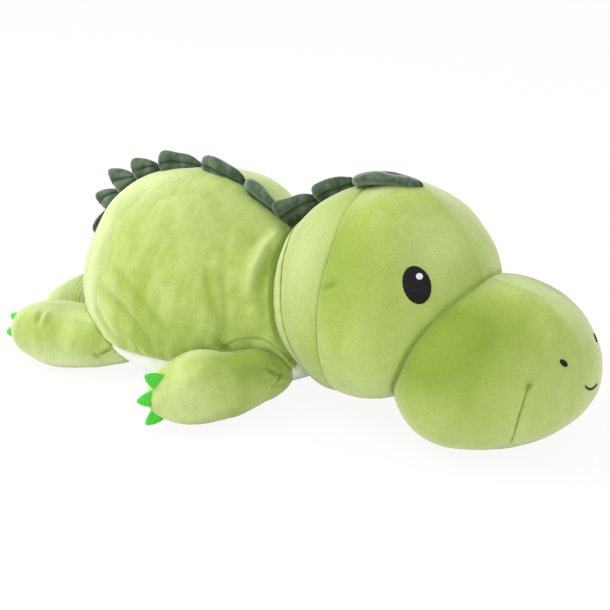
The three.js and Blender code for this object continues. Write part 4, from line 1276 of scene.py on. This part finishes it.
# %% Patches that follow the skin
def on_skin(f, shares, angles, surface, points):
    """Points of a finished skin where given points of its bare form have moved to. The grid is read
    between its four nearest corners."""
    t, angle = place_on(f, points)
    angle = np.mod(angle, 2 * np.pi)
    column = np.interp(angle, np.append(angles, 2 * np.pi), np.arange(len(angles) + 1))
    j = np.floor(column).astype(int) % len(angles)
    v = (column - np.floor(column))[..., None]
    shares_here = shares[:, j]
    up_order = shares_here[0].flat[0] < shares_here[-1].flat[0]
    count = (shares_here < t).sum(0) if up_order else (shares_here > t).sum(0)
    i = np.clip(count - 1, 0, shares.shape[0] - 2)
    a, b = shares[i, j], shares[i + 1, j]
    u = np.clip((t - a) / (b - a), 0, 1)[..., None]
    k = (j + 1) % len(angles)
    return ((surface[i, j] * (1 - u) + surface[i + 1, j] * u) * (1 - v)
            + (surface[i, k] * (1 - u) + surface[i + 1, k] * u) * v)


def heading(turn, lift):
    """Direction at an angle from +X about the upright, and at an angle above the level."""
    return np.array([math.cos(lift) * math.cos(turn), math.cos(lift) * math.sin(turn), math.sin(lift)])


def seat_on(f, target, turn, lift):
    """Point where a ray from the target inside leaves a form, and the outward direction there."""
    way, near, far = heading(turn, lift), 0.0, 400.0
    for _ in range(50):
        middle = (near + far) / 2
        if level(f, np.array(target, float) + way * middle) < 0:
            near = middle
        else:
            far = middle
    point = np.array(target, float) + way * near
    slope = np.array([level(f, point + d) - level(f, point - d) for d in np.eye(3) * 0.5])
    return point, unit(slope)


def lay_patch(f, shares, angles, surface, seat, x, y, height, tilt=0.0):
    """Points of a patch with plane coordinates x and y, in mm, at a height over the skin. Each is sent
    along the seat's normal to the form by Newton's steps, level / slope."""
    point, normal = seat
    side = unit(np.cross(UP, normal))
    above = np.cross(normal, side)
    c, s = math.cos(tilt), math.sin(tilt)
    flat = point + side * (x * c - y * s)[..., None] + above * (x * s + y * c)[..., None]
    for _ in range(12):
        slope = level(f, flat + normal * 0.5) - level(f, flat - normal * 0.5)
        flat = flat - normal * (level(f, flat) / slope)[..., None]
    return on_skin(f, shares, angles, surface, flat) + normal * height[..., None]


def oval_patch(width, height, thick, low=0.15, rings=26, sides=140):
    """Raised oval: rings of growing radius r, whose height is thick times (1 - r to the 5th) to the 0.5,
    down to the cloth. The edge is uneven, as the ends of stitches are."""
    r, a = round_grid(np.linspace(0, 1, rings), sides)
    uneven = 1 + 0.006 * np.sin(61 * a) + 0.008 * np.sin(23 * a + 1)
    x, y = r * uneven * width / 2 * np.cos(a), r * uneven * height / 2 * np.sin(a)
    z = low + thick * np.sqrt(np.maximum(1 - r**5, 0)) - 0.5 * (r == 1)
    return x, y, z


HEAD_GRID = (HEAD, HEAD_T, head_angles, HEAD_SKIN)
MUZZLE_GRID = (MUZZLE, MUZZLE_T, muzzle_angles, MUZZLE_SKIN)
HEAD_TARGET, MUZZLE_TARGET = (HEAD_SEAM, 0, 97), (284.75, 0, 64.25)
SIDES = (("right", -1), ("left", 1))


def stitched(name, grid, seat, patch, tilt, thread, turned=False):
    """Stitched piece of the face: its patch laid on the skin, with its threads across the patch."""
    x, y, z = patch
    piece(f"{name}_stitched", lay_patch(*grid, seat, x, y, z, tilt), "head", thread,
          uv=np.stack([y, x] if turned else [x, y], -1), node=name)


# %% Eyes, glints and nostrils
EYE_WIDTH, EYE_HEIGHT = 25.0, 33.5
for side_name, sign in SIDES:
    seat = seat_on(HEAD, HEAD_TARGET, sign * math.radians(39.6), math.radians(25.8))
    tilt = -sign * math.radians(8)
    stitched(f"eye_{side_name}", HEAD_GRID, seat, oval_patch(EYE_WIDTH, EYE_HEIGHT, 1.2), tilt,
             DARK_THREAD)
    x, y, z = oval_patch(6.5, 6.0, 0.5, 1.35, 12, 60)
    stitched(f"eye_glint_{side_name}", HEAD_GRID, seat,
             (x - sign * EYE_WIDTH * 0.15, y + EYE_HEIGHT * 0.19, z), tilt, WHITE_THREAD)
    seat = seat_on(MUZZLE, MUZZLE_TARGET, sign * math.radians(24.5), math.radians(19.2))
    stitched(f"nostril_{side_name}", MUZZLE_GRID, seat, oval_patch(5.8, 9.2, 0.8, 0.1, 12, 60),
             -sign * math.radians(42), DARK_THREAD)

# %% Smile
SMILE_WIDTH, SMILE_SAG, SMILE_STROKE, SMILE_TILT = 29.0, 3.8, 2.1, -0.27
smile_radius = (SMILE_WIDTH**2 / 4 + SMILE_SAG**2) / (2 * SMILE_SAG)
spread = math.asin(SMILE_WIDTH / 2 / smile_radius)
share, section = round_grid(np.linspace(0, 1, 90), 20)
taper = np.maximum(4 * share * (1 - share), 0) ** 0.25
turn = -math.pi / 2 + spread * (2 * share - 1)
radius = smile_radius + SMILE_STROKE / 2 * taper * np.cos(section)
arc = (radius * np.cos(turn), smile_radius + radius * np.sin(turn), 0.35 + 0.75 * taper * np.sin(section))
seat = seat_on(MUZZLE, MUZZLE_TARGET, math.radians(-1), math.radians(-2.5))
stitched("smile", MUZZLE_GRID, seat, arc, SMILE_TILT, DARK_THREAD, turned=True)

# %% [markdown]
# ## Limbs and tail
#
# Each limb is a bag sewn into the body. It starts a little inside the body's skin and ends in a round paw.
# On the toy it bends at its root, where the cloth gives: the root stays with the body and the paw swings.
# Creases run out from the root, where the stuffing is held.

# %% Limb skins
def limb(name, f, moves, pivot_in, pivot_out):
    """Limb from its crossing with the torso to its tip, closed inside the torso. The two pivots are not
    used."""
    angles = even_angles(f, 200)
    start = first_share(f, angles, lambda p: outside(TORSO, p, -4.0), 0.001, 0.9)
    t = round_shares(np.linspace(1, 0, 170)[:, None], start[None])
    angle = np.broadcast_to(angles[None], t.shape)
    points = skin(f, t, angle)
    edge = np.maximum(outside(TORSO, points), 0)
    move = -1.0 * bell(edge, 2.5) + gathers(edge, angle * 36, 9, 0.4, 10, 2) * (1 - bell(edge, 2.0))
    # Painted shade where the limb is sewn into the body.
    move, painted_shade, painted_light = moves(points, t, angle, move, 0.6 * bell(edge, 2.4))
    held = np.zeros(points.shape[:2])
    held[-1] = 1.0
    move = move + filled(points + outward(points) * move[..., None], held, every=5, most=1.6)
    closed = tuck(points + outward(points) * move[..., None], axes(f, np.array(0.12))[0])
    piece(f"{name}_skin", rest(closed, 0.8), ("torso", name, pivot_in, pivot_out), MINKY,
          painted_shade=extend(painted_shade), painted_light=extend(painted_light), node=name)


def folded(points, move, painted_shade, lines):
    """Adds creases that are given for the right side to a limb of either side."""
    sign = np.sign(points[..., 1].mean())
    for line, depth, width, shade in lines:
        here = np.array(line, float) * (1, -sign, 1)
        move, painted_shade = creased(points, move, painted_shade, [(here, depth, width)], shade, 0.6)
    return move, painted_shade


def flipper_moves(points, t, angle, move, painted_shade):
    """Soft lumps, a dip between paw and shoulder, short pleats on the paw and a pinch at the shoulder.
    Painted light low on the flipper towards the paw, and painted shade at the shoulder and in the creases."""
    move = move + 0.5 * lumps(points, 48, 61) + 0.15 * lumps(points, 22, 62)
    top = np.clip(np.sin(angle), 0, 1) ** 2
    move = move - 6.0 * top * bell(t - 0.36, 0.13) + 1.5 * top * bell(t - 0.62, 0.12)
    move = move + 3.2 * over(t, 0.8, 0.06)
    painted_shade = painted_shade + spots(points, [(1.3, (92, 95, 66), (40, 36, 34))])
    painted_light = spots(points, [(0.25, (58, 150, 22), (45, 45, 24))])
    move, painted_shade = folded(points, move, painted_shade, [
        ([(102.5, -92, 52), (107, -86.2, 46), (109.5, -80, 43.5)], 2.6, 1.8, 0.8),
        ([(107, -87, 34), (109, -80, 41), (110.5, -74, 46)], 2.2, 1.6, 0.9),
        ([(105, -90, 37), (108, -83.5, 37.5), (110, -76, 37.8)], -1.6, 2.0, 0.3),
        ([(20.4, -140.3, 45.4), (27, -142, 49), (34, -141, 52)], 0.9, 1.5, 0.5),
        ([(22.9, -135.2, 49.4), (30, -135, 54), (38, -133, 57)], 0.9, 1.5, 0.5),
        ([(25.6, -130.3, 52.7), (33, -129, 58), (41, -127, 61)], 0.8, 1.5, 0.5),
        ([(28.5, -125.8, 55.4), (36, -124, 61), (44, -121, 63)], 0.6, 1.4, 0.4)])
    return move, painted_shade, painted_light


def leg_moves(points, t, angle, move, painted_shade):
    """Soft lumps, a flattened top, and folds at both ends of it; painted light on the top and low down, and
    painted shade in the folds and in one spot.
    """
    move = move + 0.5 * lumps(points, 50, 71) + 0.15 * lumps(points, 22, 72)
    top = np.clip(np.sin(angle), 0, 1)
    move = (move + 2.5 * top * bell(t - 0.75, 0.2) - 1.6 * bell(top - 1, 0.16) * bell(t - 0.45, 0.25)
            + 1.0 * bell(top - 0.8, 0.12) * bell(t - 0.5, 0.3))
    painted_shade = painted_shade + spots(points, [(0.45, (-88, 100, 42), (20, 25, 22))])
    painted_light = 0.35 * bell(top - 1, 0.15) + 0.75 * under(points[..., 2], 24, 7)
    move, painted_shade = folded(points, move, painted_shade, [
        ([(-86.4, -103.6, 27), (-78.7, -101.1, 31.7), (-70.5, -97, 37.2)], 1.8, 1.6, 0.7),
        ([(-90, -104, 31), (-86.4, -103.8, 26), (-82, -101, 24)], 1.8, 2.2, 0.5),
        ([(-92.3, -93.6, 51.2), (-82.1, -95.5, 47.6), (-73, -96.2, 42.6), (-66.1, -94.7, 36.5)],
         1.6, 2.0, 0.5),
        ([(-152.1, -113.8, 48.6), (-153.5, -107.4, 53.6), (-157.3, -98.5, 57.3)], 1.4, 2.6, 0.4),
        ([(-146.0, -113.8, 47.6), (-146.5, -107.4, 52.6), (-149.3, -98.5, 56.3)], -1.0, 2.6, 0.3)])
    return move, painted_shade, painted_light


for side_name, sign in SIDES:
    limb(f"arm_{side_name}", flipper(sign), flipper_moves, (86, sign * 70, 38), (64, sign * 104, 34))
    limb(f"leg_{side_name}", rear_leg(sign), leg_moves, (-76, sign * 69, 35), (-128, sign * 76, 30))

# %% [markdown]
# The tail's cloth is held short on top, so fine pleats run across it beside the body.

# %% Tail
def tail_moves(points, t, angle, move, painted_shade):
    """Pleats across the upper side near the body, fading backward, with painted shade in their valleys and
    over the part near the body, and the pale colour of painted light over the whole tail at a share under
    half.
    """
    x, y = points[..., 0], points[..., 1]
    held = np.clip((x + 240) / 40, 0, 1) * np.clip(np.sin(angle) * 1.5 + 0.6, 0, 1)
    wave = np.sin(2 * np.pi * (x + 0.03 * y + 0.8 * np.sin(y / 9)) / 6.4)
    move = move + 0.9 * held * wave + 0.4 * lumps(points, 35, 81)
    near = np.clip((x + 215) / 50, 0, 1)
    return move, painted_shade + 0.7 * held * np.clip(-wave, 0, 1) + 0.5 * near, np.full(x.shape, 0.45)


limb("tail", TAIL, tail_moves, (-150, 0, 60), (-190, 0, 45))

# %% [markdown]
# ## Claws
#
# Three felt petals stand in the upright seam of each paw. Felt is a flat sheet, so the petal is its
# outline with a little thickness and rounded edges: for each direction round the petal the outline, and
# across it a half circle flattened to the thickness of the felt.

# %% Claws
CLAW_LENGTH, CLAW_HALF, CLAW_THICK, CLAW_ROOT = 15.5, 8.4, 3.0, 5.0


def petal_outline(share):
    """Closed outline of a claw: two bowed sides from a wide root inside the paw to a blunt tip. At share
    s of its length the half width is (1 - s to 2.2) to 0.8 of that at the root."""
    s = np.sin(np.linspace(0, np.pi / 2, 14))
    run = -CLAW_ROOT + (CLAW_LENGTH + CLAW_ROOT) * s
    rise = CLAW_HALF * (1 - s**2.2) ** 0.8
    points = np.concatenate([np.stack([run, rise], -1), np.stack([run, -rise], -1)[::-1][1:]])
    points = np.concatenate([points, points[:1]])
    length = running_length(points)
    where = length / length[-1]
    return np.stack([np.interp(share, where, points[:, 0]), np.interp(share, where, points[:, 1])], -1)


def claw_skin(seat, direction, seed):
    """Closed skin of one claw: the outline scaled by a power of sin, and the thickness by cos, of an
    angle that runs from one face over the edge to the other."""
    flat = unit(direction * (1, 1, 0))
    across = np.cross(UP, flat)
    upright = np.cross(across, direction)
    outline = petal_outline(np.linspace(0, 1, 72, endpoint=False))
    smooth = sum(np.roll(outline, k, 0) for k in (-2, -1, 0, 1, 2)) / 5
    half_turn = np.linspace(0, np.pi, 25)[:, None]
    size = np.maximum(np.sin(half_turn), 0) ** 0.35
    middle = np.array([CLAW_LENGTH * 0.3, 0.0])
    xy = middle + (smooth - middle)[None] * size[..., None]
    z = CLAW_THICK / 2 * np.cos(half_turn) + 0.5 * np.sin(xy[..., 0] / 7 + seed)
    return seat + direction * xy[..., :1] + upright * xy[..., 1:] + across * z[..., None]


def ray_to_skin(f, start, direction):
    """Where a ray from inside a limb leaves it: of all points of a fine grid of its skin, the one that
    is nearest to the ray, moved onto it."""
    grid = skin(f, np.linspace(0.01, 0.999, 160)[:, None], np.linspace(0, 2 * np.pi, 240)[None])
    offset = grid.reshape(-1, 3) - start
    along = offset @ direction
    aside = np.linalg.norm(offset - along[:, None] * direction, axis=1)
    hit = np.argmin(np.where(along > 0, aside, 1e9))
    return start + direction * along[hit]


# Of each claw: its turn from +X and its lift, in degrees, and how far it is pulled out, in mm. Where no
# turn is given the claw points along the limb.
CLAWS = {"arm": ((None, -33, 1.0), (None, 0, 1.4), (None, 33, 3.0)),
         "leg": ((205, -20, 0.0), (169, -10, 0.0), (181, 9, 0.0))}
PAW_RISE = {"arm": 1.5, "leg": 0.0}

for side_name, sign in SIDES:
    for limb_name, f in (("arm", flipper(sign)), ("leg", rear_leg(sign))):
        body, reach = f"{limb_name}_{side_name}", f["centres"][2] - f["centres"][1]
        paw_share = 1 - f["widths"][2] / np.linalg.norm(f["centres"][0] - f["centres"][2])
        paw = through(f["stations"], f["centres"], np.array(paw_share)) + (0, 0, PAW_RISE[limb_name])
        for k, (turn, lift, out) in enumerate(CLAWS[limb_name]):
            turn = math.atan2(reach[1], reach[0]) if turn is None else sign * math.radians(turn)
            way = heading(turn, math.radians(lift))
            seat = ray_to_skin(f, paw, way) + way * out
            piece(f"{body}_claw_{k + 1}_felt", claw_skin(seat, way, k), body, FELT,
                  node=f"{body}_claw_{k + 1}")

# %% [markdown]
# ## Crest
#
# Ten padded lobes stand one behind another from the brow to the tail, and the front ones lean over to
# the toy's right. Each is two layers of plush sewn along an arched edge and stuffed: a half oval from
# the side, a lens from above, with the edge pinched thin by its seam and pleats at both ends.

# %% Spine and lobes
CREST_HEIGHTS = 25.0 * np.array([1.04, 0.86, 1.0, 1.1, 0.96, 0.84, 0.92, 1.14, 0.96, 0.6])
CREST_LEANS = np.radians([-70, -42, -42, -42, -30, -8, 0, 0, 0, 0])
CREST_BOWS = {0: 3.5, 1: 1.0}
CREST_HALF = 8.0
FRONT_LOBES, NECK_LOBE, NOTCH_DEPTH = 5, 2, 23.0
TOP, NOD_X = np.array(np.pi / 2), 89.093


def neck_top(share):
    """Point on the top of the neck, from the head seam back to the nod line."""
    x = HEAD_SEAM + (NOD_X - HEAD_SEAM) * share
    return np.array([x, 0, NECK[2] + NECK_CROWN * math.sqrt(1 - ((NECK[0] - x) / NECK_RADIUS) ** 2)])


spine = np.array([skin(HEAD, 0.64, TOP), neck_top(0.19), neck_top(0.8)]
                 + [skin(TORSO, s, TOP) for s in (0.69, 0.56, 0.41, 0.255, 0.164, 0.097, 0.047, 0.009)])


def lobe_skin(k, rings=84, sides=84):
    """Closed skin of lobe k between two points of the spine. Along it the size is (1 - |u| to m) to n,
    with u from -1 to 1, and narrower in front. Round it the section is a lens with a groove along the
    arch on both sides. The first two lobes bow upward, and the underside of the neck's lobe goes down
    into the notch between head and body."""
    chord = spine[k + 1] - spine[k]
    reach, height, front = np.linalg.norm(chord) / 2 - 0.2, CREST_HEIGHTS[k], k < FRONT_LOBES
    run = unit(chord)
    rise = np.cross((0.0, 1.0, 0.0), run)
    across = np.cross(rise, run)
    u, a = round_grid(-np.cos(np.linspace(0, np.pi, rings)), sides)
    behind = u > 0
    blunt = np.where(behind, 4.6 if front else 3.4, 2.2 if k == 0 else 4.4 if front else 3.0)
    swell = np.maximum(1 - np.abs(u) ** blunt, 0) ** np.where(behind, 0.45, 0.45 if k else 0.55)
    narrow = 0.1 if k == 0 else 0.32 if front else 0.5
    swell = swell * (1 - narrow * np.clip((0.6 - u) / 1.6, 0, 1) ** 1.2)
    c, s = np.cos(a), np.sin(a)
    lens = signed_power(c, np.where(s > 0, 1.1, 1.0))
    tall = np.where(s >= 0, height, CREST_HALF) * swell * s
    x = u * (reach + 1.2) + np.clip(tall, 0, None) * (0.06 if front else 0.22)
    line = 0.5 + 0.06 * np.sin(2.2 * u + 1.7 * k)
    groove = 0.42 * bell(s - line, 0.08) * np.clip(1.3 - np.abs(u + 0.2), 0, 1) - 0.1 * bell(s - 0.84, 0.12)
    wide = CREST_HALF * swell * lens * (1 - groove * (s > 0))
    end = (1 - np.abs(u)) * reach
    pleat = 0.6 * np.sin(2 * np.pi * (tall / 5.0 + 0.23 * k)) * np.exp(-end / 6) * (s > 0)
    wide = wide * (1 + 0.07 * np.sin(4.2 * u + 2 * k)) + pleat * signed_power(c, 0.5)
    lean = CREST_LEANS[k]
    y, z = wide * math.cos(lean) - tall * math.sin(lean), wide * math.sin(lean) + tall * math.cos(lean)
    z = z + CREST_BOWS.get(k, 0.0) * (1 - u**2)
    if k == NECK_LOBE:
        z = z - NOTCH_DEPTH * bell(u - 0.33, 0.4) * np.clip(-s, 0, 1)
    points = ((spine[k] + spine[k + 1]) / 2 + run * x[..., None] + across * y[..., None]
              + rise * z[..., None])
    # Painted shade along the lobe's base, at both ends and in the groove.
    dark = (0.8 * bell(np.clip(tall, 0, None), 3.5) * (s >= -0.2) + 0.6 * bell((1 + u) * reach, 5.0)
            + 0.35 * bell((1 - u) * reach, 2.0) + 0.9 * bell(s - line, 0.07) * (s > 0))
    bumpy = 0.3 * lumps(points, 24, 100 + k)
    points = points + outward(points) * (bumpy * np.minimum(1, end / 6))[..., None]
    return points, dark


for k in range(10):
    points, dark = lobe_skin(k)
    body = "head" if k < NECK_LOBE else "neck" if k == NECK_LOBE else "torso"
    piece(f"crest_lobe_{k + 1:02d}_skin", points, body, CREST, painted_shade=dark,
          node=f"crest_lobe_{k + 1:02d}")

# %% [markdown]
# ## What is inside
#
# Under the cover is fibre fill, and in it a lining bag with glass beads, which gives the toy its
# weight. Nobody sees them in use, but the pieces are there, in their places.

# %% Fill, bag and beads
BAG = np.array([-15, 0, 36])

whole_angle = np.broadcast_to(even_angles(TORSO, 90), (70, 90))
share = round_shares(np.linspace(0, 1, 70)[:, None], end=rim_share(whole_angle[:1]) - 0.03)
wadding = skin(TORSO, share, whole_angle, -9.0)
dents = np.minimum(torso_lumps(wadding), 0)
wadding = wadding + outward(wadding) * (0.8 * lumps(wadding, 26, 91) - 0.8 + dents)[..., None]
piece("fibre_fill_wadding", rest(tuck(wadding, (40, 0, 80))) + (0, 0, 4.0), "torso", FIBRE,
      node="fibre_fill")


def pillow(length, half_width, half_height, pinch):
    """Closed pillow in the bag's place: a stuffed form on a straight path, thin all round its middle
    height, with small lumps."""
    half = np.array([length / 2, 0, 0])
    f = form([0, 1], straight(BAG - half, BAG + half, [0, 1]), [half_width] * 2, [half_height] * 2,
             [half_height] * 2, 1.8, 1.8, 0.5)
    points = skin(f, *round_grid(round_shares(np.linspace(0, 1, 60)), 72))
    return points + outward(points) * (pinch * lumps(points, 30, 95))[..., None]


piece("weight_bag_lining", pillow(178, 73, 29, 0.8), "torso", LINING, node="weight_bag")
piece("bead_charge_heap", pillow(170, 69, 25, 0.5), "torso", BEADS, node="bead_charge")
